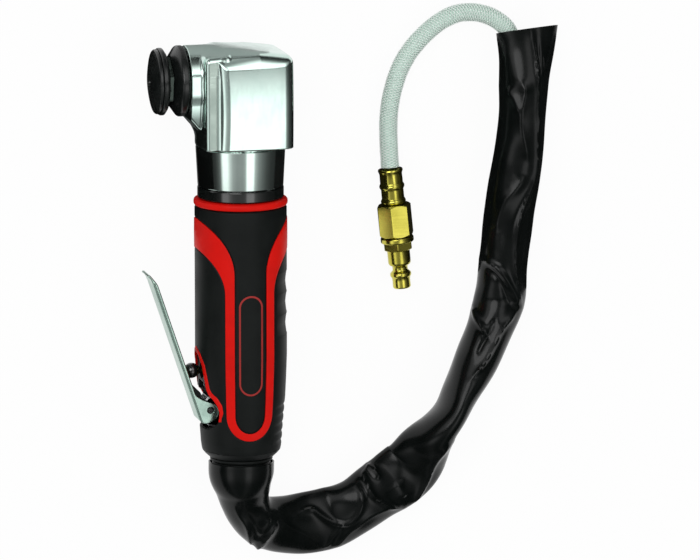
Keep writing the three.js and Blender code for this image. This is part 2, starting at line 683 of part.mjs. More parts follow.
function spindle() {
  const bearing = FRONT_BEARING;
  const bearingLeft = bearing.right - bearing.width;
  const body = turnedAlongX([
    [0, SPINDLE_LEFT],
    [JOURNAL_RADIUS, SPINDLE_LEFT],
    [JOURNAL_RADIUS, HUB_BACK + SEAT],
    [SPINDLE_RADIUS + 1, HUB_BACK + SEAT],
    [SPINDLE_RADIUS + 1, bearingLeft - SEAT],
    [bearing.inner - FIT, bearingLeft - SEAT],
    [bearing.inner - FIT, bearing.right + SEAT],
    [SPINDLE_RADIUS, bearing.right + SEAT],
    [SPINDLE_RADIUS, 3],
    [JOURNAL_RADIUS, 3],
    [JOURNAL_RADIUS, REAR_BEARING.left + REAR_BEARING.width],
    [0, REAR_BEARING.left + REAR_BEARING.width],
  ], 24);
  const thread = rodAlongX(HUB_SCREW_RADIUS + FIT, SPINDLE_LEFT - 1, SPINDLE_LEFT + HUB_SCREW_REACH);
  return cut(body, thread);
}

// An open ball bearing as its two races.
function placeRaces(name, bearing, left) {
  const middle = (bearing.outer + bearing.inner) / 2;
  const right = left + bearing.width;
  place(name + "_outer", ringAlongX(bearing.outer, middle + 0.9, left, right), "steel");
  place(name + "_inner", ringAlongX(middle - 0.9, bearing.inner, left + 0.2, right - 0.2), "steel");
}

place("spindle", spindle(), "steel");
placeRaces("front_bearing", FRONT_BEARING, FRONT_BEARING.right - FRONT_BEARING.width);
place(
  "rear_bearing",
  ringAlongX(
    REAR_BEARING.outer,
    JOURNAL_RADIUS + RUN,
    REAR_BEARING.left,
    REAR_BEARING.left + REAR_BEARING.width,
    SMALL_ROUND,
  ),
  "steel",
);

const circlipRight = FRONT_BEARING.right - FRONT_BEARING.width - SEAT;
place(
  "bearing_circlip",
  ringAlongX(FRONT_BEARING.outer, FRONT_BEARING.outer - 2.4, circlipRight - CIRCLIP_WIDTH, circlipRight),
  "blackSteel",
);

function bevelGear() {
  const teeth = bevelTeeth(BEVEL_GEAR_TEETH, BEVEL_GEAR_PITCH, BEVEL_PINION_PITCH, 1.5, 2.4, 0);
  const hub = rod(BEVEL_GEAR_PITCH - 2.5, BEVEL_PINION_PITCH - 0.6, BEVEL_GEAR_BACK, 24);
  return cut(join(teeth, hub), rod(JOURNAL_RADIUS + FIT, 0, BEVEL_GEAR_BACK + 1, 24)).rotateZ(-Math.PI / 2);
}

function bevelPinion() {
  const phase = Math.PI / BEVEL_PINION_TEETH;
  const teeth = bevelTeeth(BEVEL_PINION_TEETH, BEVEL_PINION_PITCH, BEVEL_GEAR_PITCH, 1.05, 1.7, phase);
  const hub = rod(BEVEL_PINION_PITCH - 1.8, BEVEL_GEAR_PITCH - 0.6, -PINION_BACK, 20);
  const bore = rod(PINION_BEARING.inner + FIT, 0, 1 - PINION_BACK, 20);
  return cut(join(teeth, hub), bore).rotateX(Math.PI);
}

place("bevel_gear", bevelGear(), "steel");
place("bevel_pinion", bevelPinion(), "steel");

// --- Clamping hub -------------------------------------------------------------------------------------

const hubBore = () => rodAlongX(JOURNAL_RADIUS + FIT, CAP_LEFT - 1, HUB_BACK + 1);

function innerFlange() {
  const body = turnedAlongX([
    [0, INNER_FACE],
    [GROOVE_RADIUS, INNER_FACE],
    [HUB_INNER_RIM, INNER_RIM_LEFT],
    [HUB_INNER_RIM, INNER_RIM_LEFT + 0.7 * INNER_RIM_WIDTH],
    [HUB_INNER_RIM - 0.7, HUB_BACK],
    [0, HUB_BACK],
  ]);
  const socket = hexBarAlongX(DRIVE_HEX_FLATS + 2 * FIT, INNER_FACE - 1, INNER_FACE + DRIVE_HEX_DEPTH + SEAT);
  return cut(body, hubBore(), socket);
}

function outerFlange() {
  const body = turnedAlongX([
    [0, OUTER_BACK],
    [HUB_OUTER_RIM - 0.5, OUTER_BACK],
    [HUB_OUTER_RIM, OUTER_BACK + 0.5],
    [HUB_OUTER_RIM, OUTER_RIM_RIGHT],
    [HUB_OUTER_RIM - 2, OUTER_FACE],
    [0, OUTER_FACE],
  ]);
  const drive = hexBarAlongX(DRIVE_HEX_FLATS, OUTER_RIM_RIGHT, INNER_FACE + DRIVE_HEX_DEPTH);
  return cut(join(body, drive), hubBore());
}

function hubCap() {
  const edge = CAP_RIGHT - HUB_CAP_EDGE;
  const profile = [];
  const steps = 6;
  for (let i = 0; i <= steps; i++) {
    const radius = (HUB_CAP_RADIUS * i) / steps;
    profile.push([radius, edge - HUB_CAP_DOME * (1 - (i / steps) ** 2)]);
  }
  profile.push([HUB_CAP_RADIUS, CAP_RIGHT], [0, CAP_RIGHT]);
  const head = rodAlongX(HUB_SCREW_HEAD + RUN, CAP_LEFT - 1, CAP_LEFT + HUB_SCREW_HEAD_DEPTH + SEAT);
  const shank = rodAlongX(HUB_SCREW_RADIUS + RUN, CAP_LEFT - 1, CAP_RIGHT + 1);
  return cut(turnedAlongX(profile), head, shank);
}

function hubScrew() {
  const headRight = CAP_LEFT + HUB_SCREW_HEAD_DEPTH;
  const end = SPINDLE_LEFT + HUB_SCREW_REACH - SEAT;
  const body = turnedAlongX([
    [0, CAP_LEFT + 0.3],
    [HUB_SCREW_HEAD - 0.4, CAP_LEFT + 0.3],
    [HUB_SCREW_HEAD, CAP_LEFT + 0.7],
    [HUB_SCREW_HEAD, headRight],
    [HUB_SCREW_RADIUS, headRight],
    [HUB_SCREW_RADIUS, end],
    [0, end],
  ], SMALL_ROUND);
  return cut(body, hexBarAlongX(HUB_SCREW_KEY, CAP_LEFT - 1, CAP_LEFT + 0.7 * HUB_SCREW_HEAD_DEPTH));
}

place("inner_flange", innerFlange(), "blackSteel");
place("outer_flange", outerFlange(), "blackSteel");
place("hub_cap", hubCap(), "blackSteel");
place("hub_screw", hubScrew(), "blackSteel");

// --- Planetary gear -----------------------------------------------------------------------------------

place(
  "pinion_bearing",
  ring(PINION_BEARING.outer, PINION_BEARING.inner + RUN, PINION_BEARING_END, PINION_BEARING_TOP),
  "steel",
);

const orbitPlace = (i) => [
  ORBIT * Math.cos((i * 2 * Math.PI) / PLANETS),
  ORBIT * Math.sin((i * 2 * Math.PI) / PLANETS),
];

function planetCarrier() {
  const disc = rod(CARRIER_RADIUS, CARRIER_END, CARRIER_TOP, ROUND);
  const shaft = rod(PINION_BEARING.inner, CARRIER_TOP - 1, -BEVEL_GEAR_PITCH * (1 - BEVEL_FACE_SHARE) - 0.6);
  const holes = [];
  for (let i = 0; i < PLANETS; i++) {
    const [x, z] = orbitPlace(i);
    holes.push(rod(PLANET_PIN_RADIUS + FIT, CARRIER_END - 1, CARRIER_TOP + 1).translate(x, 0, z));
  }
  return cut(join(disc, shaft), ...holes);
}

function ringGear() {
  const tip = -GEAR_ADDENDUM * GEAR_MODULE;
  const outline = gearOutline(RING_TEETH, RING_GEAR_PITCH, tip, -GEAR_DEDENDUM * GEAR_MODULE, 0);
  const shape = new THREE.Shape();
  shape.absarc(0, 0, RING_WALL_RADIUS, 0, 2 * Math.PI, false);
  shape.holes.push(new THREE.Path(outline.map(([x, y]) => new THREE.Vector2(x, y))));
  return prism(shape, RING_GEAR_TOP - RING_GEAR_END, ROUND / 2)
    .rotateX(-Math.PI / 2)
    .translate(0, RING_GEAR_END, 0);
}

place("planet_carrier", planetCarrier(), "steel");
place("ring_gear", ringGear(), "steel");

for (let i = 0; i < PLANETS; i++) {
  const [x, z] = orbitPlace(i);
  const gear = cut(
    spurGear(PLANET_TEETH, Math.PI / PLANET_TEETH, PLANET_END, PLANET_TOP),
    rod(PLANET_PIN_RADIUS + RUN, PLANET_END - 1, PLANET_TOP + 1, 16),
  );
  place("planet_gear_" + (i + 1), gear.translate(x, 0, z), "steel");
  const pin = rod(PLANET_PIN_RADIUS, PLANET_END + 0.2, CARRIER_TOP, 16).translate(x, 0, z);
  place("planet_pin_" + (i + 1), pin, "polishedSteel");
}

// --- Vane motor ---------------------------------------------------------------------------------------

const bearingPocket = (top, sign) =>
  rod(ROTOR_BEARING.outer + FIT, Math.min(top, top + sign * 7), Math.max(top, top + sign * 7), ROUND);

function rotor() {
  const topPlay = CYLINDER_TOP - STEP_GAP;
  const endPlay = CYLINDER_END + STEP_GAP;
  const drum = rod(ROTOR_RADIUS, endPlay, topPlay, ROUND);
  const shaft = rod(ROTOR_SHAFT, REAR_PLATE_END + 1, PLANET_TOP - 0.4, SMALL_ROUND);
  const sun = spurGear(SUN_TEETH, 0, SUN_END, PLANET_TOP - 0.2);
  const slots = [];
  for (let i = 0; i < VANES; i++) {
    const inner = ROTOR_RADIUS - VANE_DEPTH - SEAT;
    const slot = box(
      [inner, endPlay - 1, -VANE_THICKNESS / 2 - FIT],
      [ROTOR_RADIUS + 2, topPlay + 1, VANE_THICKNESS / 2 + FIT],
    );
    slots.push(slot.rotateY((i * 2 * Math.PI) / VANES));
  }
  return join(cut(drum, ...slots), shaft, sun);
}

place("rotor", rotor(), "steel");
for (let i = 0; i < VANES; i++) {
  const vane = box(
    [ROTOR_RADIUS - VANE_DEPTH, CYLINDER_END + STEP_GAP, -VANE_THICKNESS / 2],
    [ROTOR_RADIUS + VANE_STANDS_OUT, CYLINDER_TOP - STEP_GAP, VANE_THICKNESS / 2],
  );
  place("vane_" + (i + 1), vane.rotateY((i * 2 * Math.PI) / VANES), "vane");
}

function endPlate(top, pocketTop, sign) {
  const plateBody = rod(MOTOR_RADIUS, top - END_PLATE_WIDTH, top, ROUND);
  const shaftHole = rod(ROTOR_SHAFT + 1, top - END_PLATE_WIDTH - 1, top + 1);
  return cut(plateBody, shaftHole, bearingPocket(pocketTop, sign));
}

place("front_end_plate", endPlate(FRONT_PLATE_TOP, FRONT_PLATE_TOP + 0.5, -1), "steel");
place("rear_end_plate", endPlate(REAR_PLATE_TOP, REAR_PLATE_END - 0.5, 1), "steel");

function placeRotorBearing(name, low) {
  const race = ring(ROTOR_BEARING.outer, ROTOR_SHAFT + RUN, low, low + ROTOR_BEARING.width, SMALL_ROUND);
  place(name, race, "polishedSteel");
}

placeRotorBearing("rotor_bearing_front", FRONT_PLATE_TOP - 6.2);
placeRotorBearing("rotor_bearing_rear", REAR_PLATE_END + 0.2);

function cylinderLiner() {
  const wall = rod(MOTOR_RADIUS, CYLINDER_END, CYLINDER_TOP, ROUND);
  const bore = rod(CYLINDER_BORE, CYLINDER_END - 1, CYLINDER_TOP + 1, ROUND).translate(CYLINDER_OFFSET, 0, 0);
  const ports = [];
  for (let i = 0; i < 4; i++) {
    const y = CYLINDER_TOP - CYLINDER_LENGTH * (0.2 + 0.2 * i);
    ports.push(rodAlongX(2, CYLINDER_BORE, MOTOR_RADIUS + 2, 12).translate(0, y, 0));
  }
  return cut(wall, bore, ...ports);
}

place("cylinder_liner", cylinderLiner(), "polishedSteel");

// --- Handle -------------------------------------------------------------------------------------------

function couplingCollar() {
  return turned([
    [SPIGOT_RADIUS + FIT, COLLAR_TOP],
    [SPIGOT_RADIUS + FIT, SPIGOT_END - 0.1],
    [HOUSING_RADIUS + FIT, SPIGOT_END - 0.1],
    [HOUSING_RADIUS + FIT, COLLAR_END],
    [COLLAR_BOTTOM_RADIUS - 0.4, COLLAR_END],
    [COLLAR_BOTTOM_RADIUS, COLLAR_END + 0.4],
    [COLLAR_TOP_RADIUS, COLLAR_TOP],
  ]);
}

place("coupling_collar", couplingCollar(), "polishedSteel");
place("neck_band", ring(NECK_BAND_RADIUS, HOUSING_RADIUS + FIT, BAND_END, BAND_TOP), "glossBlack");

function gripRing() {
  const inner = HOUSING_RADIUS + FIT;
  const middle = (RING_TOP + RING_END) / 2;
  return turned([
    [inner, RING_END],
    [RING_RADIUS - 0.9, RING_END],
    [RING_RADIUS, middle - 0.6],
    [RING_RADIUS, middle + 0.6],
    [RING_RADIUS - 1.4, RING_TOP],
    [inner, RING_TOP],
  ]);
}

place("grip_ring", gripRing(), "redRubber");

// The grip's outside: straight, then drawn in towards the exhaust end.
const GRIP_PROFILE = [
  [GRIP_RADIUS - 0.7, 0],
  [GRIP_RADIUS, 0.7],
  [GRIP_RADIUS, 0.59 * GRIP_LENGTH],
  [GRIP_RADIUS - 0.135 * GRIP_END_DRAW, 0.76 * GRIP_LENGTH],
  [GRIP_RADIUS - 0.325 * GRIP_END_DRAW, 0.88 * GRIP_LENGTH],
  [GRIP_RADIUS - 0.42 * GRIP_END_DRAW, 0.935 * GRIP_LENGTH],
  [GRIP_RADIUS - 0.65 * GRIP_END_DRAW, 0.972 * GRIP_LENGTH],
  [GRIP_END_RADIUS, GRIP_LENGTH],
];

function gripRadius(y) {
  const down = GRIP_TOP - y;
  for (let i = 1; i < GRIP_PROFILE.length; i++) {
    const [radiusA, downA] = GRIP_PROFILE[i - 1];
    const [radiusB, downB] = GRIP_PROFILE[i];
    if (down <= downB) {
      const share = Math.max(0, (down - downA) / (downB - downA));
      return radiusA + share * (radiusB - radiusA);
    }
  }
  return GRIP_END_RADIUS;
}

// A point of the grip's surface, by the distance round it from the front line, and its depth.
function gripPoint(round, y, depth) {
  const angle = round / GRIP_RADIUS;
  const radius = gripRadius(y) - depth;
  return new THREE.Vector3(radius * Math.sin(angle), y, radius * Math.cos(angle));
}

const INLAY_BAND_TOP = INLAY_FROM_TOP - GRIP_TOP;
const INLAY_BAND_BOTTOM = INLAY_BAND_TOP + INLAY_SIDE_WIDTH;
const INLAY_LEG_INNER_TOP = INLAY_BAND_TOP + INLAY_INNER_SWEEP;
const INLAY_LEG_OUTER_TOP = INLAY_BAND_BOTTOM + INLAY_OUTER_SWEEP;
const INLAY_END_OUTER = -GRIP_END - INLAY_FROM_END;
const INLAY_END_INNER = INLAY_END_OUTER - INLAY_FOOT_WIDTH;
const INLAY_LEG_END = INLAY_END_INNER - INLAY_LOOP_DEPTH;

// One quarter of the ribbon, from the foot of the front loop to the side: pairs of edge points.
function inlayQuarter(margin) {
  const side = (GRIP_RADIUS * Math.PI) / 2;
  const pairs = [];
  const loopSteps = 6;
  for (let i = 0; i <= loopSteps; i++) {
    const turn = (i * Math.PI) / 2 / loopSteps;
    const inner = INLAY_INNER_HALF - margin;
    const outer = INLAY_OUTER_HALF + margin;
    pairs.push([
      [inner * Math.sin(turn), -INLAY_LEG_END - (INLAY_END_INNER - INLAY_LEG_END - margin) * Math.cos(turn)],
      [outer * Math.sin(turn), -INLAY_LEG_END - (INLAY_END_OUTER - INLAY_LEG_END + margin) * Math.cos(turn)],
    ]);
  }
  for (const share of [0.25, 0.5, 0.75]) {
    const inner = -INLAY_LEG_END + share * (INLAY_LEG_END - INLAY_LEG_INNER_TOP);
    const outer = -INLAY_LEG_END + share * (INLAY_LEG_END - INLAY_LEG_OUTER_TOP);
    pairs.push([[INLAY_INNER_HALF - margin, inner], [INLAY_OUTER_HALF + margin, outer]]);
  }
  const sweepSteps = 9;
  for (let i = 0; i <= sweepSteps; i++) {
    const turn = (i * Math.PI) / 2 / sweepSteps;
    const innerWide = side - INLAY_INNER_HALF + margin;
    const outerWide = side - INLAY_OUTER_HALF - margin;
    pairs.push([
      [
        side - innerWide * Math.cos(turn),
        -INLAY_LEG_INNER_TOP + (INLAY_LEG_INNER_TOP - INLAY_BAND_TOP + margin) * Math.sin(turn),
      ],
      [
        side - outerWide * Math.cos(turn),
        -INLAY_LEG_OUTER_TOP + (INLAY_LEG_OUTER_TOP - INLAY_BAND_BOTTOM - margin) * Math.sin(turn),
      ],
    ]);
  }
  return pairs;
}

// The whole ribbon as one closed loft, from two depths below the grip's surface.
function inlayRibbon(margin, deep, proud) {
  const quarter = inlayQuarter(margin);
  const halfRound = GRIP_RADIUS * Math.PI;
  const right = quarter.map((pair) => pair.map(([round, y]) => [round, y]));
  const back = quarter.map((pair) => pair.map(([round, y]) => [halfRound - round, y])).reverse();
  const backLeft = quarter.map((pair) => pair.map(([round, y]) => [halfRound + round, y]));
  const left = quarter.map((pair) => pair.map(([round, y]) => [-round, y])).reverse();
  const pairs = [...right, ...back.slice(1), ...backLeft.slice(1), ...left.slice(1, -1)];
  const stations = pairs.map(([inner, outer]) => [
    gripPoint(inner[0], inner[1], deep),
    gripPoint(inner[0], inner[1], -proud),
    gripPoint(outer[0], outer[1], -proud),
    gripPoint(outer[0], outer[1], deep),
  ]);
  return loft(stations, true);
}

// The recess round the lever, seen from the hub's side: z and y of its edge.
const EAR_OUTER = LEVER_WIDTH / 2;
const RECESS_HALF = [
  [0, PIN_Y + 32.9],
  [EAR_OUTER - 3, PIN_Y + 30.4],
  [EAR_OUTER + 0.5, PIN_Y + 25.4],
  [EAR_OUTER + 2.3, PIN_Y + 17.4],
  [EAR_OUTER + 3.2, PIN_Y + 11.4],
  [EAR_OUTER + 7, PIN_Y + 8.9],
  [EAR_OUTER + 10.8, PIN_Y + 4.9],
  [EAR_OUTER + 11.6, PIN_Y - 0.6],
  [EAR_OUTER + 11.2, PIN_Y - 6.6],
];
const RECESS_END = PIN_Y - 14.1;
const TRIM_END = PIN_Y - 3.6;
const POCKET_TOP = PIN_Y + 10.8; // clear of the lever's ears when it is pressed

function recessOutline(grow, end) {
  const side = RECESS_HALF.map(([z, y], i) => {
    const before = RECESS_HALF[Math.max(0, i - 1)];
    const after = RECESS_HALF[Math.min(RECESS_HALF.length - 1, i + 1)];
    const along = new THREE.Vector2(after[0] - before[0], after[1] - before[1]).normalize();
    if (i === 0) return [0, y + grow];
    return [z - along.y * grow, y + along.x * grow];
  });
  const last = side[side.length - 1];
  const half = [...side, [last[0], end]];
  const mirrored = half
    .slice(1)
    .reverse()
    .map(([z, y]) => [-z, y]);
  return [...half, ...mirrored];
}

// An outline in z and y, run along x from outside the handle to a floor.
const recessCut = (outline, floor) =>
  prism(shapeOf(outline), 2 * GRIP_RADIUS)
    .rotateY(-Math.PI / 2)
    .translate(floor, 0, 0);

function pocketOutline() {
  const low = RECESS_HALF.filter(([, y]) => y <= POCKET_TOP).map(([z, y]) => [z, y]);
  const last = low[low.length - 1];
  const half = [[0, POCKET_TOP], [EAR_OUTER + 1, POCKET_TOP], ...low, [last[0], RECESS_END]];
  const mirrored = half
    .slice(1)
    .reverse()
    .map(([z, y]) => [-z, y]);
  return [...half, ...mirrored];
}

// Room for the lever's block when the lever is pressed.
function leverSlot() {
  const half = WEB_HALF + SEAT;
  return box([-GRIP_RADIUS - 2, POCKET_TOP - 4, -half], [SLOT_FLOOR, PIN_Y + 15.4, half]);
}

// The boss between the lever's ears that carries the pin.
function pinBoss() {
  const outline = [
    [POCKET_FLOOR + 1, PIN_Y + 8],
    [PIN_X - 1.2, PIN_Y + 7.2],
    [PIN_X - 3.9, PIN_Y + 3.4],
    [PIN_X - 3.9, PIN_Y - 4.4],
    [PIN_X - 1, PIN_Y - 9],
    [POCKET_FLOOR + 1, PIN_Y - 10.2],
  ];
  return plate(outline, WEB_HALF);
}

const pinHole = (radius) =>
  rod(radius, -LEVER_WIDTH, LEVER_WIDTH)
    .rotateX(Math.PI / 2)
    .translate(PIN_X, PIN_Y, 0);

const exhaustWay = (left, low, high) =>
  box([left, low, -EXHAUST_WAY_HALF], [HOUSING_RADIUS - EXHAUST_WAY_WALL, high, EXHAUST_WAY_HALF]);

// The aluminium body under the rubber: motor bore above, valve and air ways below.
function motorHousing() {
  const body = rod(HOUSING_RADIUS, HOUSING_END, HOUSING_TOP, ROUND);
  const carved = cut(body, recessCut(pocketOutline(), POCKET_FLOOR), leverSlot());
  const boss = cut(pinBoss(), pinHole(PIN_RADIUS + FIT));
  const motorPort = (SEAL_RIGHT + SEAT_LEFT) / 2;
  const valveBores = [
    rodAlongX(VALVE_BORE, -2 * GRIP_RADIUS, SEAL_RIGHT + SEAT),
    rodAlongX(SEAT_RADIUS + 1, SEAL_RIGHT, SEAT_LEFT),
    rodAlongX(SEAT_RADIUS, SEAT_LEFT - 1, SEAT_RIGHT + 1),
    rodAlongX(VALVE_BORE, SEAT_RIGHT, VALVE_BORE_END),
  ].map((bore) => bore.translate(0, VALVE_Y, 0));
  return cut(
    join(carved, boss),
    rod(MOTOR_RADIUS + FIT, MOTOR_FLOOR, HOUSING_TOP + 1, ROUND),
    ...valveBores,
    rod(PORT_RADIUS, VALVE_Y, MOTOR_FLOOR + 1, 12).translate(motorPort, 0, 0),
    rod(PORT_RADIUS, NIPPLE_TOP - 1, VALVE_Y, 12).translate(SPRING_LEFT + 3, 0, 0),
    rod(NIPPLE_RADIUS + FIT, HOUSING_END - 1, NIPPLE_TOP + SEAT),
    exhaustWay(MOTOR_RADIUS - 1, EXHAUST_WAY_END, CYLINDER_TOP - 6),
    exhaustWay(NIPPLE_RADIUS + 2.5, HOUSING_END - 1, EXHAUST_WAY_END + 1),
  );
}

function gripSleeve() {
  const bore = HOUSING_RADIUS + FIT;
  const outside = GRIP_PROFILE.map(([radius, down]) => [radius, GRIP_TOP - down]).reverse();
  const body = turned([
    [bore, GRIP_TOP],
    [bore, HOUSING_END - SEAT],
    [EXHAUST_NECK + FIT, HOUSING_END - SEAT],
    [EXHAUST_NECK + FIT, GRIP_END],
    ...outside,
  ], 40);
  const fingerGrooves = [];
  for (let i = 0; i < 3; i++) {
    const y = GRIP_TOP - GROOVE_FIRST - i * GROOVE_PITCH;
    const x = GRIP_RADIUS + GROOVE_CUTTER - GROOVE_DEPTH;
    const cutter = rod(GROOVE_CUTTER, -GRIP_RADIUS, GRIP_RADIUS).rotateX(Math.PI / 2).translate(x, y, 0);
    fingerGrooves.push(cutter);
  }
  return cut(
    body,
    inlayRibbon(SEAT, INLAY_THICKNESS - INLAY_PROUD + SEAT, 3),
    recessCut(recessOutline(0, RECESS_END), RECESS_FLOOR),
    recessCut(pocketOutline(), POCKET_FLOOR),
    leverSlot(),
    rodAlongX(VALVE_BORE, -2 * GRIP_RADIUS, 0).translate(0, VALVE_Y, 0),
    trimRing(SEAT, GRIP_RADIUS - TRIM_THICKNESS - SEAT, GRIP_RADIUS + 4),
    ...fingerGrooves,
  );
}

// The red edge of the recess: the outline grown outwards, in a shell at the grip's surface.
function trimRing(margin, inner, outer) {
  const end = TRIM_END - margin;
  const outside = recessCut(recessOutline(TRIM_WIDTH + margin, end), -2);
  const hollow = recessCut(recessOutline(-margin, end - 5), -1);
  const shell = ring(outer, inner, end - 1, RECESS_HALF[0][1] + 2 * TRIM_WIDTH, 40);
  return common(cut(outside, hollow), shell);
}

place("motor_housing", motorHousing(), "housing");
place("grip_sleeve", gripSleeve(), "blackRubber");
place("grip_inlay", inlayRibbon(0, INLAY_THICKNESS - INLAY_PROUD, INLAY_PROUD), "redRubber");
place(
  "lever_surround",
  cut(trimRing(0, GRIP_RADIUS - TRIM_THICKNESS, GRIP_RADIUS + 0.2), inlayRibbon(SEAT, 3, 3)),
  "redRubber",
);

// --- Throttle lever and valve -------------------------------------------------------------------------

// A lever outline, by the distance from the pin along the lever and towards the handle.
function leverPlace([along, inward]) {
  const lean = radians(LEVER_REST_ANGLE);
  return [
    PIN_X - along * Math.sin(lean) + inward * Math.cos(lean),
    PIN_Y + along * Math.cos(lean) + inward * Math.sin(lean),
  ];
}

function throttleLever() {
  const back = -LEVER_BACK;
  const inside = back + LEVER_SHEET;
  const rim = back + LEVER_FLANGE;
  const sheet = [
    [-LEVER_TAIL + 1.2, back],
    [LEVER_LENGTH - 3, back],
    [LEVER_LENGTH, back - 1.4],
    [LEVER_LENGTH + 0.4, back - 0.2],
    [LEVER_LENGTH - 2.6, inside],
    [-LEVER_TAIL + 0.8, inside],
  ];
  const ear = [
    [LEVER_LENGTH - 3, back],
    [LEVER_LENGTH - 3.4, inside + 0.3],
    [LEVER_LENGTH / 2, rim],
    [14, rim],
    [8, -0.6],
    [3, 3.4],
    [-1, 4.2],
    [-4.4, 2.6],
    [-6.6, -2],
    [-6.8, -5],
    [-LEVER_TAIL, back],
  ];
  const half = LEVER_WIDTH / 2;
  const earBody = plate(ear.map(leverPlace), LEVER_SHEET / 2);
  const near = earBody.clone().translate(0, 0, half - LEVER_SHEET / 2);
  const far = earBody.clone().translate(0, 0, LEVER_SHEET / 2 - half);
  const channel = join(plate(sheet.map(leverPlace), half), near, far);
  return cut(channel, pinHole(PIN_RADIUS + RUN));
}

function leverBlock() {
  const near = LEVER_SHEET - LEVER_BACK + SEAT;
  const outline = [
    [8.7, near],
    [8.7, -1.6],
    [11, -1.8],
    [16.6, -4.6],
    [17, near],
  ];
  return plate(outline.map(leverPlace), WEB_HALF - SEAT);
}

place("throttle_lever", throttleLever(), "leverSteel");
place("lever_block", leverBlock(), "blackRubber");
place(
  "lever_pin",
  rod(PIN_RADIUS, -LEVER_WIDTH / 2 - 0.6, LEVER_WIDTH / 2 + 0.6, 16)
    .rotateX(Math.PI / 2)
    .translate(PIN_X, PIN_Y, 0),
  "blackSteel",
);

const stemLeft = BUTTON_X - 1.5;

function valveButton() {
  const ball = new THREE.SphereGeometry(BUTTON_RADIUS, 16, 10).translate(BUTTON_X, VALVE_Y, 0);
  return cut(ball, rodAlongX(STEM_RADIUS + FIT, stemLeft - SEAT, 0, 12).translate(0, VALVE_Y, 0));
}

function valveStem() {
  return turnedAlongX([
    [0, stemLeft],
    [STEM_RADIUS, stemLeft],
    [STEM_RADIUS, VALVE_HEAD_LEFT],
    [VALVE_HEAD_RADIUS, VALVE_HEAD_LEFT],
    [VALVE_HEAD_RADIUS, VALVE_HEAD_LEFT + VALVE_HEAD_WIDTH],
    [0, VALVE_HEAD_LEFT + VALVE_HEAD_WIDTH],
  ], 12).translate(0, VALVE_Y, 0);
}

// The valve's return spring: one unbroken wire, eight steps a curl and five sides.
function valveSpring() {
  const stepsPerCurl = 8;
  const steps = SPRING_CURLS * stepsPerCurl;
  const wireSides = 5;
  const run = SPRING_LENGTH - 2 * SPRING_WIRE;
  const stations = [];
  for (let i = 0; i <= steps; i++) {
    const turn = (i * 2 * Math.PI) / stepsPerCurl;
    const x = SPRING_LEFT + SPRING_WIRE + (run * i) / steps;
    const loop = [];
    for (let j = 0; j < wireSides; j++) {
      const around = (-j * 2 * Math.PI) / wireSides;
      const radius = SPRING_RADIUS + SPRING_WIRE * Math.cos(around);
      const shift = SPRING_WIRE * Math.sin(around);
      loop.push(new THREE.Vector3(x + shift, VALVE_Y + radius * Math.cos(turn), radius * Math.sin(turn)));
    }
    stations.push(loop);
  }
  const wire = loft(stations, false);
  const index = [...wire.index.array];
  const last = steps * wireSides;
  for (let j = 1; j < wireSides - 1; j++) {
    index.push(0, j, j + 1);
    index.push(last, last + j + 1, last + j);
  }
  wire.setIndex(index);
  return wire;
}

// A ring that fills the valve bore round the stem.
function ringOnStem(left, right) {
  const ring = ringAlongX(VALVE_BORE - FIT, STEM_RADIUS + RUN, left, right, SMALL_ROUND);
  return ring.translate(0, VALVE_Y, 0);
}

place("valve_button", valveButton(), "glossBlack");
place("valve_stem", valveStem(), "brass");
place("valve_bush", ringOnStem(BUSH_LEFT, BUSH_RIGHT), "brass");
place("valve_seal", ringOnStem(SEAL_LEFT, SEAL_RIGHT), "blackRubber");
place("valve_spring", valveSpring(), "steel");

// --- Inlet and exhaust end ----------------------------------------------------------------------------

function inletNipple() {
  const shoulder = HOUSING_END - 6;
  const body = turned([
    [0, NIPPLE_END],
    [NIPPLE_BARB, NIPPLE_END],
    [NIPPLE_BARB, shoulder],
    [NIPPLE_RADIUS, shoulder],
    [NIPPLE_RADIUS, NIPPLE_TOP],
    [0, NIPPLE_TOP],
  ], SMALL_ROUND);
  return cut(body, rod(NIPPLE_BORE, NIPPLE_END - 1, NIPPLE_TOP + 1, 12));
}

function exhaustCollar() {
  const below = GRIP_END - SEAT;
  return turned([
    [EXHAUST_BORE, EXHAUST_TOP],
    [EXHAUST_BORE, EXHAUST_END],
    [EXHAUST_RADIUS - 0.8, EXHAUST_END],
    [EXHAUST_RADIUS, EXHAUST_END + 0.8],
    [EXHAUST_RADIUS, below - 3.4],
    [EXHAUST_RADIUS - 0.9, below - 3],
    [EXHAUST_RADIUS - 0.9, below - 2],
    [EXHAUST_RADIUS + 1, below - 1.6],
    [EXHAUST_RADIUS + 1, below],
    [EXHAUST_NECK, below],
    [EXHAUST_NECK, EXHAUST_TOP],
  ]);
}

place("inlet_nipple", inletNipple(), "brass");
place("exhaust_collar", exhaustCollar(), "blackRubber");

// --- Over-hose, air hose and fittings -----------------------------------------------------------------

const vector = ([x, y, z]) => new THREE.Vector3(x, y, z);

// Half the height of the slack over-hose where its half width is given: its girth stays the same.
function sleeveHalfHeight(halfWidth, i) {
  return i < SLEEVE_ON_COLLAR ? halfWidth : Math.sqrt(2 * SLEEVE_ROUND ** 2 - halfWidth ** 2);
}

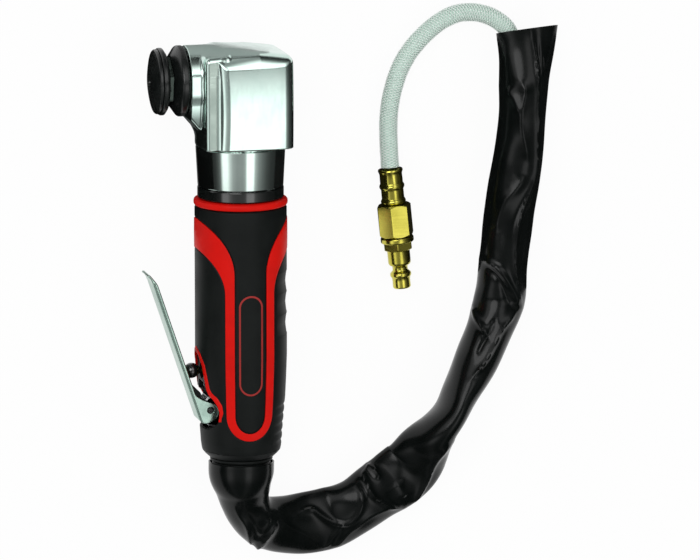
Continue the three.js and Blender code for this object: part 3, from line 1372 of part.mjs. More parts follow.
function exhaustSleeve() {
  const path = new THREE.CatmullRomCurve3(SLEEVE_ROUTE.map(vector), false, "centripetal");
  const sizeAt = ([, , , halfWidth], i) => vector([halfWidth, sleeveHalfHeight(halfWidth, i), i * 40]);
  const sizes = SLEEVE_ROUTE.map(sizeAt);
  const sizeCurve = new THREE.CatmullRomCurve3(sizes, false, "centripetal");
  const up = new THREE.Vector3(0, 0, 1);
  const sides = 12;
  const steps = 2 * (SLEEVE_ROUTE.length - 1);
  const stations = [];
  for (let i = 0; i <= steps; i++) {
    const share = i / steps;
    const middle = path.getPoint(share);
    const size = sizeCurve.getPoint(share);
    const along = path.getTangent(share);
    const side = new THREE.Vector3().crossVectors(along, up).normalize();
    const top = new THREE.Vector3().crossVectors(side, along).normalize();
    const loopOf = (wall) => {
      const loop = [];
      for (let j = 0; j < sides; j++) {
        const turn = (j * 2 * Math.PI) / sides;
        const point = middle.clone();
        point.addScaledVector(side, (size.x - wall) * Math.cos(turn));
        point.addScaledVector(top, (size.y - wall) * Math.sin(turn));
        loop.push(point);
      }
      return loop;
    };
    stations.push([loopOf(0), loopOf(SLEEVE_WALL)]);
  }
  const outside = stations.map(([outer]) => outer);
  const inside = stations.map(([, inner]) => inner).reverse();
  return loft([...outside, ...inside], true);
}

function airHose() {
  const start = NIPPLE_END - 0.8;
  const straight = [start, start - 3, start - 6].map((y) => [0, y, HEAD_HALF]);
  const inside = SLEEVE_ROUTE.slice(3, 25).map(([x, y, z]) => [x, y, z]);
  const route = [...straight, ...inside, ...HOSE_FREE_ROUTE];
  const path = new THREE.CatmullRomCurve3(route.map(vector), false, "centripetal");
  const circle = new THREE.Shape();
  circle.absarc(0, 0, HOSE_RADIUS, 0, 2 * Math.PI, false);
  const sweep = { steps: 76, curveSegments: 5, extrudePath: path, bevelEnabled: false };
  return new THREE.ExtrudeGeometry(circle, sweep);
}

place("exhaust_sleeve", exhaustSleeve(), "sleeveRubber", tool);
place("air_hose", airHose(), "clearHose", tool);

place(
  "inner_ferrule",
  ring(FERRULE_RADIUS, HOSE_RADIUS + 0.4, NIPPLE_END - 4.4, NIPPLE_END + 5, SMALL_ROUND),
  "brass",
);

// The fittings lie in line on the surface. In their own frame they run down from y = 0.
const fittings = new THREE.Group();
fittings.position.set(FERRULE_X, FERRULE_Y, FITTING_HEIGHT);
fittings.rotation.z = radians(FITTING_TURN);
tool.add(fittings);

const NUT_TOP = -FERRULE_LENGTH - SEAT;
const NUT_END = NUT_TOP - NUT_LENGTH;
const ADAPTER_TOP = NUT_END - SEAT;
const ADAPTER_END = ADAPTER_TOP - ADAPTER_FLANGE_LENGTH - ADAPTER_LENGTH;
const PLUG_TOP = ADAPTER_END - SEAT;

function hoseFerrule() {
  const crimp = FERRULE_RADIUS - 0.7;
  return turned([
    [0, -FERRULE_LENGTH],
    [FERRULE_RADIUS - 0.3, -FERRULE_LENGTH],
    [FERRULE_RADIUS, -FERRULE_LENGTH + 1.6],
    [crimp, -FERRULE_LENGTH + 2.6],
    [crimp, -0.62 * FERRULE_LENGTH],
    [FERRULE_RADIUS, -0.56 * FERRULE_LENGTH],
    [FERRULE_RADIUS, -0.46 * FERRULE_LENGTH],
    [crimp, -0.4 * FERRULE_LENGTH],
    [crimp, -1.2],
    [FERRULE_RADIUS - 0.2, -0.6],
    [FERRULE_RADIUS - 0.4, 0],
    [0, 0],
  ], SMALL_ROUND);
}

// A hexagon with turned-down corners at its ends.
function chamferedHex(flats, low, high) {
  const flat = flats / 2;
  const corner = flat / Math.cos(Math.PI / 6);
  const limit = turned([
    [0, low],
    [flat, low],
    [corner + 0.1, low + 1.2],
    [corner + 0.1, high - 1.2],
    [flat, high],
    [0, high],
  ], 24);
  return common(hexBar(flats, low, high), limit);
}

function hoseAdapter() {
  const flangeEnd = ADAPTER_TOP - ADAPTER_FLANGE_LENGTH;
  const flange = rod(ADAPTER_FLANGE_RADIUS, flangeEnd, ADAPTER_TOP, 24);
  return join(flange, chamferedHex(ADAPTER_FLATS, ADAPTER_END, flangeEnd + 0.5));
}

function quickPlug() {
  const grooveTop = PLUG_TOP - PLUG_STEM_LENGTH;
  const collarTop = grooveTop - PLUG_GROOVE_LENGTH;
  const tipTop = collarTop - PLUG_COLLAR_LENGTH;
  const end = tipTop - PLUG_TIP_LENGTH;
  const body = turned([
    [0, end],
    [PLUG_TIP_RADIUS - 0.5, end],
    [PLUG_TIP_RADIUS, end + 0.6],
    [PLUG_TIP_RADIUS, tipTop],
    [PLUG_COLLAR_RADIUS, tipTop + 0.8],
    [PLUG_COLLAR_RADIUS, collarTop - 0.6],
    [PLUG_GROOVE_RADIUS, collarTop + 0.6],
    [PLUG_GROOVE_RADIUS, grooveTop - 0.4],
    [PLUG_STEM_RADIUS - 0.4, grooveTop + 0.6],
    [PLUG_STEM_RADIUS, grooveTop + 1.4],
    [PLUG_STEM_RADIUS, PLUG_TOP],
    [0, PLUG_TOP],
  ], 24);
  return cut(body, rod(PLUG_BORE, end - 1, end + PLUG_BORE_DEPTH, 16));
}

place("hose_ferrule", hoseFerrule(), "brass", fittings);
place("union_nut", chamferedHex(NUT_FLATS, NUT_END, NUT_TOP), "brass", fittings);
place("hose_adapter", hoseAdapter(), "brass", fittings);
place("quick_plug", quickPlug(), "brass", fittings);

export default tool;
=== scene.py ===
"""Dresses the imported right-angle air tool: shapes, finishes, floor, studio light and camera."""

from __future__ import annotations

import logging
import math
from dataclasses import dataclass, field
from enum import Enum
from typing import Callable

import bpy
import numpy as np
from mathutils import Matrix, Vector


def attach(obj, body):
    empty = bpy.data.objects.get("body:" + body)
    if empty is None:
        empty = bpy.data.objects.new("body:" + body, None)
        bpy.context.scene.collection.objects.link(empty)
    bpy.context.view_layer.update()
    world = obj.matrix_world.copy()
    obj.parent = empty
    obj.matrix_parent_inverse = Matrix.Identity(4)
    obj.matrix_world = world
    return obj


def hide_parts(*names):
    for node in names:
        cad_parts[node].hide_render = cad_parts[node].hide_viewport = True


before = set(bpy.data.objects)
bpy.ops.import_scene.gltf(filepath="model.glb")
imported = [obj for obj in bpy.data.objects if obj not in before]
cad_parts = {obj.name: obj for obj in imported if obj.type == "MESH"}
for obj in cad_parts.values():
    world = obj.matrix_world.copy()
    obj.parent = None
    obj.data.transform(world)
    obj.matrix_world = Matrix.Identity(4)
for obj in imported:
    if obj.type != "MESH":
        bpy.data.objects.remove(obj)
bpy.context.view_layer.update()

log = logging.getLogger("air_tool")
logging.basicConfig(level=logging.INFO, format="%(message)s")

MM = 0.001
AXIS_HEIGHT = 26.0
LIFT = np.array([0.0, 0.0, AXIS_HEIGHT])
ORIGIN = (0.0, 0.0, 0.0)
LEVER_PIN = (-19.1, -183.4)
Array = np.ndarray
Mesh = tuple[Array, list]
Triple = tuple[float, float, float]
Profile = tuple[tuple[float, ...], ...]
Field = Callable[[Array, Array, Array], Array]
Socket = bpy.types.NodeSocket


class Body(str, Enum):
    """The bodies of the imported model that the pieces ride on."""

    TOOL = "tool_body"
    SPINDLE = "spindle_unit"
    LEVER = "lever_unit"
    PLUNGER = "plunger"


class Slot(str, Enum):
    """The record's material slots."""

    CASTING = "cast_aluminium"
    STEEL = "polished_steel"
    BLACK_STEEL = "black_steel"
    LEVER = "lever_steel"
    RUBBER = "black_rubber"
    GLOSS = "gloss_black"
    RED = "red_rubber"
    SLEEVE = "sleeve_rubber"
    HOSE = "clear_hose"
    BRASS = "brass"


# --- Node materials -------------------------------------------------------------------------------


class Nodes:
    """A node tree under construction, with short ways to add its nodes."""

    def __init__(self, tree: bpy.types.NodeTree) -> None:
        """Takes a material's or the world's tree.

        Args:
            tree: The tree.
        """
        self.tree = tree

    def add(self, kind: str, **settings: object) -> bpy.types.Node:
        """Adds a node.

        Args:
            kind: The node's type.
            settings: Attributes to set on it.

        Returns:
            The new node.
        """
        node = self.tree.nodes.new(kind)
        for key, value in settings.items():
            setattr(node, key, value)
        return node

    def link(self, source: Socket, target: Socket) -> None:
        """Joins two sockets."""
        self.tree.links.new(source, target)

    def feed(self, sockets: tuple, values: tuple) -> None:
        """Sets sockets to numbers or colours, or links them.

        Args:
            sockets: The sockets.
            values: A number, a colour or a source for each.
        """
        for socket, value in zip(sockets, values):
            if isinstance(value, tuple):
                socket.default_value = (*value[:3], 1.0)
            elif isinstance(value, (int, float)):
                socket.default_value = value
            else:
                self.link(value, socket)

    def math(self, operation: str, a: Socket | float, b: Socket | float = 0.0) -> Socket:
        """Adds one step of arithmetic.

        Args:
            operation: The step's name, as in MULTIPLY.
            a: The first operand.
            b: The second operand.

        Returns:
            The result.
        """
        node = self.add("ShaderNodeMath", operation=operation)
        self.feed((node.inputs[0], node.inputs[1]), (a, b))
        return node.outputs[0]


class Paint(Nodes):
    """A material under construction, with one shader."""

    def __init__(self, name: str) -> None:
        """Starts the material.

        Args:
            name: The material's name.
        """
        self.material = bpy.data.materials.new(name)
        self.material.use_nodes = True
        super().__init__(self.material.node_tree)
        self.shader = self.tree.nodes["Principled BSDF"]
        self.place = self.add("ShaderNodeTexCoord").outputs["Object"]

    def set(self, **values: object) -> None:
        """Sets constants on the shader's own sockets.

        Args:
            values: Socket names with underscores for spaces, and their values.
        """
        for key, value in values.items():
            name = key.replace("_", " ")
            if isinstance(value, tuple) and len(value) == 3:
                value = (*value, 1.0)
            self.shader.inputs[name].default_value = value

    def stretched(self, scale: Triple) -> Socket:
        """Gives the object's coordinates, scaled along x, y and z.

        Args:
            scale: The three factors.

        Returns:
            The scaled place.
        """
        node = self.add("ShaderNodeMapping")
        node.inputs["Scale"].default_value = scale
        self.link(self.place, node.inputs["Vector"])
        return node.outputs["Vector"]

    def noise(self, scale: float, detail: float = 3.0, roughness: float = 0.5,
              place: Socket | None = None) -> Socket:
        """Adds a noise.

        Args:
            scale: Its frequency, per metre.
            detail: Its octaves.
            roughness: How strong the finer octaves are.
            place: Where it is read, or None for the object's coordinates.

        Returns:
            The noise, from 0 to 1.
        """
        node = self.add("ShaderNodeTexNoise")
        node.inputs["Scale"].default_value = scale
        node.inputs["Detail"].default_value = detail
        node.inputs["Roughness"].default_value = roughness
        self.link(place or self.place, node.inputs["Vector"])
        return node.outputs["Fac"]

    def ranged(self, value: Socket, low: float, high: float, to_low: float, to_high: float) -> Socket:
        """Maps a range of a value onto another range.

        Args:
            value: What is mapped.
            low: The value that gives to_low.
            high: The value that gives to_high.
            to_low: The result at low.
            to_high: The result at high.

        Returns:
            The mapped value.
        """
        node = self.add("ShaderNodeMapRange")
        for key, number in zip(("From Min", "From Max", "To Min", "To Max"), (low, high, to_low, to_high)):
            node.inputs[key].default_value = number
        self.link(value, node.inputs["Value"])
        return node.outputs["Result"]

    def mixed(self, share: Socket | float, a: tuple | Socket, b: tuple | Socket) -> Socket:
        """Mixes two colours.

        Args:
            share: The second colour's share.
            a: The first colour.
            b: The second colour.

        Returns:
            The mixed colour.
        """
        node = self.add("ShaderNodeMix", data_type="RGBA")
        self.feed((node.inputs[0], node.inputs[6], node.inputs[7]), (share, a, b))
        return node.outputs[2]

    def drive(self, name: str, value: Socket) -> None:
        """Links a value to the shader's socket of this name."""
        self.link(value, self.shader.inputs[name])

    def bump(self, height: Socket, strength: float, distance: float) -> None:
        """Adds relief to the shader.

        Args:
            height: The relief's height, from 0 to 1.
            strength: How much of it counts.
            distance: What a height of 1 stands for, in metres.
        """
        node = self.add("ShaderNodeBump")
        node.inputs["Strength"].default_value = strength
        node.inputs["Distance"].default_value = distance
        self.link(height, node.inputs["Height"])
        self.drive("Normal", node.outputs["Normal"])


@dataclass(frozen=True)
class Finish:
    """What every opaque finish has: two tones in soft clouds, an uneven roughness and fine relief."""

    name: str
    colour: Triple
    second: Triple
    roughness: float
    uneven: float

    def dress(self, paint: Paint, clouds: Socket, marks: Socket, tones: tuple[float, float],
              relief: tuple[float, float]) -> bpy.types.Material:
        """Gives a material its colour, roughness and relief.

        Args:
            paint: The material under construction.
            clouds: The broad pattern.
            marks: The fine pattern.
            tones: Where in the clouds the second tone begins and is full.
            relief: The relief's strength and its depth in metres.

        Returns:
            The material.
        """
        paint.drive("Base Color", paint.mixed(paint.ranged(clouds, *tones, 0.0, 1.0), self.colour, self.second))
        low, high = self.roughness - self.uneven, self.roughness + self.uneven
        paint.drive("Roughness", paint.ranged(paint.math("ADD", clouds, marks), 0.7, 1.3, low, high))
        paint.bump(marks, *relief)
        return paint.material


@dataclass(frozen=True)
class Metal(Finish):
    """A bare or blackened metal with fine machining or polishing marks."""

    grain: Triple
    grain_depth: float

    def material(self) -> bpy.types.Material:
        """Builds the node material.

        Returns:
            The material.
        """
        paint = Paint(self.name)
        paint.set(Metallic=1.0)
        marks = paint.noise(1.0, 2.0, 0.6, paint.stretched(self.grain))
        return self.dress(paint, paint.noise(60.0, 4.0), marks, (0.35, 0.7), (0.25, self.grain_depth))


@dataclass(frozen=True)
class Rubber(Finish):
    """Moulded rubber, plastic or a black coat: fine grain and a soft or glossy skin."""

    grain: float
    grain_depth: float
    coat: float = 0.0
    coat_roughness: float = 0.1
    specular: float = 0.5

    def material(self) -> bpy.types.Material:
        """Builds the node material.

        Returns:
            The material.
        """
        paint = Paint(self.name)
        paint.set(Coat_Weight=self.coat, Coat_Roughness=self.coat_roughness, Specular_IOR_Level=self.specular)
        skin = paint.noise(self.grain, 3.0, 0.6)
        return self.dress(paint, paint.noise(90.0, 4.0), skin, (0.4, 0.75), (0.3, self.grain_depth))


@dataclass(frozen=True)
class ClearPlastic:
    """The air hose's clear outer wall, a little cloudy and green."""

    name: str
    colour: Triple
    veil: float
    veil_uneven: float = 0.05

    def material(self) -> bpy.types.Material:
        """Builds the node material.

        Returns:
            The material.
        """
        paint = Paint(self.name)
        clouds = paint.noise(160.0, 3.0)
        paint.drive("Roughness", paint.ranged(clouds, 0.3, 0.7, 0.08, 0.2))
        paint.set(Base_Color=self.colour, Specular_IOR_Level=0.5)
        low, high = self.veil - self.veil_uneven, self.veil + self.veil_uneven
        paint.drive("Alpha", paint.ranged(clouds, 0.35, 0.65, low, high))
        paint.bump(clouds, 0.15, 0.0001)
        return paint.material


CASTING = Metal("Polished casting", (0.66, 0.81, 0.75), (0.58, 0.74, 0.68), 0.17, 0.04,
                (500.0, 90.0, 500.0), 0.00002)
MILLED = Metal("Milled casting face", (0.50, 0.60, 0.54), (0.40, 0.49, 0.44), 0.34, 0.08,
               (160.0, 1400.0, 160.0), 0.00006)
COLLAR_STEEL = Metal("Turned polished steel", (0.64, 0.76, 0.71), (0.57, 0.69, 0.64), 0.10, 0.04,
                     (30.0, 3500.0, 30.0), 0.00001)
GROUND_STEEL = Metal("Ground steel", (0.62, 0.63, 0.64), (0.5, 0.51, 0.52), 0.28, 0.08,
                     (400.0, 1500.0, 400.0), 0.00002)
HOUSING_ALUMINIUM = Metal("Machined aluminium", (0.62, 0.63, 0.64), (0.52, 0.54, 0.55), 0.3, 0.07,
                          (60.0, 2500.0, 60.0), 0.00002)
LEVER_STEEL = Metal("Satin lever steel", (0.38, 0.52, 0.45), (0.33, 0.46, 0.40), 0.27, 0.06,
                    (300.0, 300.0, 1200.0), 0.00002)
BRASS = Metal("Turned brass", (0.62, 0.56, 0.10), (0.48, 0.43, 0.06), 0.2, 0.05,
              (40.0, 2600.0, 40.0), 0.00001)
BLACK_STEEL = Rubber("Blackened steel", (0.005, 0.0065, 0.006), (0.011, 0.013, 0.0125), 0.24, 0.06,
                     1500.0, 0.00002, specular=0.45)
HEX_STEEL = Metal("Worn blackened hexagon", (0.12, 0.155, 0.135), (0.07, 0.09, 0.08), 0.24, 0.08,
                  (900.0, 300.0, 300.0), 0.00002)
GRIP_RUBBER = Rubber("Grip rubber", (0.0045, 0.0060, 0.0056), (0.0068, 0.0086, 0.0081), 0.5, 0.06,
                     2600.0, 0.00004, specular=0.16)
RED_RUBBER = Rubber("Red rubber", (0.68, 0.0040, 0.0010), (0.58, 0.0035, 0.0010), 0.46, 0.06,
                    2200.0, 0.00003, specular=0.13)
DARK_RED = Rubber("Dark red outline", (0.34, 0.008, 0.004), (0.28, 0.006, 0.003), 0.5, 0.05, 2000.0, 0.00002)
GLOSS_BLACK = Rubber("Gloss black", (0.004, 0.0055, 0.005), (0.006, 0.0075, 0.007), 0.1, 0.03,
                     900.0, 0.00001, coat=0.5, coat_roughness=0.06, specular=0.8)
SLEEVE_RUBBER = Rubber("Thin over-hose rubber", (0.0026, 0.0036, 0.0033), (0.0042, 0.0056, 0.0052), 0.2, 0.04,
                       700.0, 0.00003, specular=0.2)
VANE_FIBRE = Rubber("Pressed fibre", (0.20, 0.12, 0.06), (0.28, 0.18, 0.1), 0.6, 0.08, 1800.0, 0.00005)


# --- Mesh tools -----------------------------------------------------------------------------------


def placed(name: str, data: bpy.types.ID) -> bpy.types.Object:
    """Puts a new object with this name and data into the scene.

    Args:
        name: Its name.
        data: Its data.

    Returns:
        The new object.
    """
    thing = bpy.data.objects.new(name, data)
    bpy.context.scene.collection.objects.link(thing)
    return thing


def piece(name: str, points: Array, faces: list, body: Body, finish: bpy.types.Material, slot: Slot,
          replaces: tuple[str, ...] = (), sharp: float | None = 35.0,
          normals: Array | None = None) -> bpy.types.Object:
    """Makes one piece of the visual model and lets it ride on its body.

    Args:
        name: The piece's name.
        points: Its points, in millimetres in the row frame.
        faces: Its faces, as lists of point numbers.
        body: The body that it rides on.
        finish: Its material.
        slot: Not used.
        replaces: The CAD nodes that it stands for.
        sharp: The angle in degrees from which an edge is shaded sharp, or None for smooth throughout.
        normals: Exact normals at the points, where they are known.

    Returns:
        The new object.
    """
    mesh = bpy.data.meshes.new(name)
    mesh.from_pydata((np.asarray(points) * MM).tolist(), [], [list(map(int, face)) for face in faces])
    mesh.validate()
    mesh.polygons.foreach_set("use_smooth", [True] * len(mesh.polygons))
    if normals is not None:
        mesh.normals_split_custom_set_from_vertices(normals.tolist())
    elif sharp is not None:
        mesh.set_sharp_from_angle(angle=math.radians(sharp))
    mesh.materials.append(finish)
    thing = placed(name, mesh)
    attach(thing, body.value)
    if replaces:
        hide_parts(*replaces)
    log.info("%s: %d faces", name, len(mesh.polygons))
    return thing


def rounded(profile: Profile | list, steps: int = 4) -> Array:
    """Rounds the corners of an open profile.

    Args:
        profile: Points with a corner radius each, as (radius, along, corner) or (radius, along).
        steps: Facets in each rounded corner.

    Returns:
        The rounded profile's points.
    """
    places = [np.array(p[:2], float) for p in profile]
    corners = [p[2] if len(p) > 2 else 0.0 for p in profile]
    out = [places[0]]
    for before, here, after, corner in zip(places, places[1:], places[2:], corners[1:]):
        back, ahead = before - here, after - here
        room = min(np.linalg.norm(back), np.linalg.norm(ahead)) * 0.49
        reach = min(corner, room)
        if reach < 0.02:
            out.append(here)
            continue
        start = here + back / np.linalg.norm(back) * reach
        end = here + ahead / np.linalg.norm(ahead) * reach
        for i in range(steps + 1):
            t = i / steps
            out.append((1 - t) ** 2 * start + 2 * t * (1 - t) * here + t * t * end)
    out.append(places[-1])
    return np.array(out)


def grid_faces(rows: int, columns: int, wrap: bool = True) -> list[tuple[int, int, int, int]]:
    """Lists the faces of a sheet of rows of points, closed round each row if it wraps.

    Args:
        rows: The number of rows.
        columns: The number of points in each.
        wrap: Whether each row closes.

    Returns:
        The faces, as point numbers.
    """
    last = columns if wrap else columns - 1
    faces = []
    for i in range(rows - 1):
        for j in range(last):
            k = (j + 1) % columns
            faces.append((i * columns + j, i * columns + k, (i + 1) * columns + k, (i + 1) * columns + j))
    return faces


def capped(rows: int, columns: int) -> list[tuple[int, ...]]:
    """Lists the faces of a closed stack of loops, with an end face on its first and its last loop."""
    top = (rows - 1) * columns
    return grid_faces(rows, columns) + [tuple(range(columns))[::-1], tuple(range(top, top + columns))]


class Line(Enum):
    """The line that a turned piece is turned about."""

    SPINDLE = "x"
    HANDLE = "y"


def turned(profile: Array, line: Line, sides: int = 96, shape: Callable[[float], float] | None = None,
           centre: Triple = (0.0, 0.0, AXIS_HEIGHT)) -> Mesh:
    """Turns a profile.

    Args:
        profile: Its points, as (radius, along).
        line: The line that it is turned about.
        sides: Facets round it.
        shape: The widest radius at an angle, for flats, or None for a round piece.
        centre: A point on the line.

    Returns:
        Points and faces.
    """
    angles = round_angles(sides)
    limit = np.array([shape(a) for a in angles]) if shape else np.full(sides, np.inf)
    loops = []
    for radius, along in profile:
        r = np.minimum(max(radius, 0.001), limit)
        across, up, run = r * np.cos(angles), r * np.sin(angles), np.full(sides, along)
        loops.append(np.stack([run, across, up] if line is Line.SPINDLE else [up, run, across], 1))
    points = np.concatenate(loops) + np.array(centre)
    return points, capped(len(profile), sides)


def hexagon(flats: float, turn: float = 0.0) -> Callable[[float], float]:
    """Gives the outline of a hexagon by its size across the flats, as a radius by angle.

    Args:
        flats: The size across the flats.
        turn: The angle of its first corner.

    Returns:
        The radius, as a function of the angle.
    """
    def radius(angle: float) -> float:
        """Gives the radius at an angle."""
        part = (angle - turn) % (math.pi / 3) - math.pi / 6
        return flats / 2 / math.cos(part)

    return radius


def smooth_route(points: list[tuple[float, ...]] | Array, per_piece: int = 12) -> Array:
    """Runs a smooth line through points.

    Args:
        points: The points that it passes.
        per_piece: How many steps lie between two of them.

    Returns:
        The line's points, the given ones among them.
    """
    p = np.asarray(points, float)
    p = np.vstack([2 * p[0] - p[1], p, 2 * p[-1] - p[-2]])
    gaps = np.maximum(np.linalg.norm(np.diff(p, axis=0), axis=1), 1e-6) ** 0.5
    out = []
    for i in range(1, len(p) - 2):
        before, here, there, after = p[i - 1:i + 3]
        a, b, c = gaps[i - 1:i + 2]
        leave = ((here - before) / a - (there - before) / (a + b) + (there - here) / b) * b
        arrive = ((there - here) / b - (after - here) / (b + c) + (after - there) / c) * b
        for k in range(per_piece + (i == len(p) - 3)):
            t = k / per_piece
            cubic = (2 * t ** 3 - 3 * t ** 2 + 1, t ** 3 - 2 * t ** 2 + t, 3 * t ** 2 - 2 * t ** 3, t ** 3 - t ** 2)
            out.append(cubic[0] * here + cubic[1] * leave + cubic[2] * there + cubic[3] * arrive)
    return np.array(out)


def run_along(line: Array) -> Array:
    """Gives how far along a line each of its points lies."""
    return np.concatenate([[0.0], np.cumsum(np.linalg.norm(np.diff(line, axis=0), axis=1))])


def resampled(line: Array, step: float) -> Array:
    """Puts points at even distances along a line.

    Args:
        line: The line.
        step: The distance wanted.

    Returns:
        The new points.
    """
    run = run_along(line)
    places = np.linspace(0.0, run[-1], max(3, int(round(run[-1] / step)) + 1))
    return np.stack([np.interp(places, run, line[:, k]) for k in range(line.shape[1])], 1)


def frames(line: Array) -> tuple[Array, Array, Array]:
    """Gives directions along, beside and above each point of a line that lies roughly flat.

    Args:
        line: The line's points.

    Returns:
        The three directions at each point.
    """
    along = np.gradient(line, axis=0)
    along /= np.linalg.norm(along, axis=1)[:, None]
    side = np.cross(along, [0.0, 0.0, 1.0])
    side /= np.linalg.norm(side, axis=1)[:, None]
    return along, side, np.cross(side, along)


def spokes(side: Array, top: Array, angles: Array) -> Array:
    """Gives the directions outward from each point of a line, at some angles from its side to its top."""
    return side[:, None] * np.cos(angles)[None, :, None] + top[:, None] * np.sin(angles)[None, :, None]


def round_angles(sides: int) -> Array:
    """Gives evenly spread angles all the way round."""
    return np.arange(sides) * 2 * np.pi / sides


# --- Solids from distance fields ------------------------------------------------------------------


def rounded_max(a: Array, b: Array, radius: float) -> Array:
    """Keeps what two distances share, with a round edge of the given radius between them."""
    return np.minimum(-radius, np.maximum(a, b)) + np.hypot(np.maximum(a + radius, 0), np.maximum(b + radius, 0))


def filleted_min(a: Array, b: Array, radius: float) -> Array:
    """Joins two distances with a hollow fillet of the given radius."""
    return -rounded_max(-a, -b, radius)


def slab(value: Array, low: float, high: float) -> Array:
    """Gives the distance to a slab between two values."""
    return np.maximum(low - value, value - high)


def polygon_distance(u: Array, v: Array, outline: Array) -> Array:
    """Gives the signed distance to a closed outline in a plane, negative inside it.

    Args:
        u: First coordinates of the points.
        v: Second coordinates of the points.
        outline: The outline's corners.

    Returns:
        The distances.
    """
    best = np.full(u.shape, np.inf)
    inside = np.zeros(u.shape, bool)
    for (x0, y0), (x1, y1) in zip(outline, np.roll(outline, -1, 0)):
        dx, dy = x1 - x0, y1 - y0
        t = np.clip(((u - x0) * dx + (v - y0) * dy) / (dx * dx + dy * dy), 0.0, 1.0)
        best = np.minimum(best, (u - x0 - t * dx) ** 2 + (v - y0 - t * dy) ** 2)
        if dy:
            inside ^= ((y0 > v) != (y1 > v)) & (u < x0 + dx * (v - y0) / dy)
    return np.where(inside, -1.0, 1.0) * np.sqrt(best)


def gradient(solid: Field, points: Array, h: float = 0.04) -> Array:
    """Gives a distance field's slope at some points.

    Args:
        solid: The distance field.
        points: The points.
        h: Half the distance it is taken over.

    Returns:
        The slopes.
    """
    slopes = []
    for axis in np.eye(3) * h:
        ahead, behind = points + axis, points - axis
        slopes.append((solid(*ahead.T) - solid(*behind.T)) / (2 * h))
    return np.stack(slopes, 1)


def meshed(solid: Field, low: Triple, high: Triple, step: float) -> tuple[Array, list, Array]:
    """Wraps a distance field in a mesh of quads whose points lie on its surface.

    Args:
        solid: The distance field, negative inside.
        low: The lowest corner of the space that holds it.
        high: The highest corner.
        step: The size of the quads.

    Returns:
        Points, faces and exact normals.
    """
    axes = [np.arange(a - 2 * step, b + 2 * step, step) for a, b in zip(low, high)]
    values = np.empty([len(a) for a in axes], np.float32)
    for i, x in enumerate(axes[0]):
        y, z = np.meshgrid(axes[1], axes[2], indexing="ij")
        values[i] = solid(np.full(y.shape, x), y, z)
    inside = values < 0
    cells = np.array(values.shape) - 1
    total = np.zeros((*cells, 3), np.float32)
    count = np.zeros(cells, np.int32)
    corners = [(i, j, k) for i in (0, 1) for j in (0, 1) for k in (0, 1)]

    def at(grid: Array, c: tuple[int, int, int]) -> Array:
        """Gives a grid's values at one corner of every cell."""
        return grid[c[0]:c[0] + cells[0], c[1]:c[1] + cells[1], c[2]:c[2] + cells[2]]

    for a in corners:
        for b in corners:
            if sum(b) != sum(a) + 1 or sum(abs(p - q) for p, q in zip(a, b)) != 1:
                continue
            crossed = at(inside, a) != at(inside, b)
            va, vb = at(values, a)[crossed], at(values, b)[crossed]
            t = (va / (va - vb))[:, None]
            total[crossed] += np.array(a) * (1 - t) + np.array(b) * t
            count[crossed] += 1
    used = np.argwhere(count > 0)
    number = np.full(cells, -1, np.int64)
    number[tuple(used.T)] = np.arange(len(used))
    offsets = total[tuple(used.T)] / count[tuple(used.T)][:, None]
    points = (used + offsets) * step + np.array([a[0] for a in axes])
    faces = []
    for axis in range(3):
        ahead = [slice(None)] * 3
        behind = [slice(None)] * 3
        behind[axis], ahead[axis] = slice(0, -1), slice(1, None)
        first, second = inside[tuple(behind)], inside[tuple(ahead)]
        o1, o2 = [d for d in range(3) if d != axis]
        for sign in (True, False):
            found = np.argwhere((first != second) & (first == sign))
            found = found[(found[:, o1] > 0) & (found[:, o2] > 0)]
            quads = []
            for d1, d2 in ((-1, -1), (0, -1), (0, 0), (-1, 0)):
                cell = found.copy()
                cell[:, o1] += d1
                cell[:, o2] += d2
                quads.append(number[tuple(cell.T)])
            quad = np.stack(quads, 1)
            faces.append(quad if sign != (axis == 1) else quad[:, ::-1])
    for _ in range(4):
        slope = gradient(solid, points)
        size = np.maximum((slope ** 2).sum(1), 0.2)
        move = slope * (solid(*points.T) / size)[:, None]
        points -= np.clip(move, -0.5 * step, 0.5 * step)
    slope = gradient(solid, points)
    normals = slope / np.maximum(np.linalg.norm(slope, axis=1), 1e-9)[:, None]
    return points, np.concatenate(faces).tolist(), normals


def carved(name: str, made: tuple[Array, list, Array], finish: bpy.types.Material, slot: Slot,
           replaces: tuple[str, ...] = ()) -> bpy.types.Object:
    """Makes a piece of the tool's body from a mesh about the handle's line.

    Args:
        name: The piece's name.
        made: The mesh's points, faces and normals.
        finish: Its material.
        slot: Passed on to piece, which does not use it.
        replaces: The CAD nodes that it stands for.

    Returns:
        The new object.
    """
    points, faces, normals = made
    return piece(name, points + LIFT, faces, Body.TOOL, finish, slot, replaces, None, normals)


# --- Camera, floor and light ----------------------------------------------------------------------


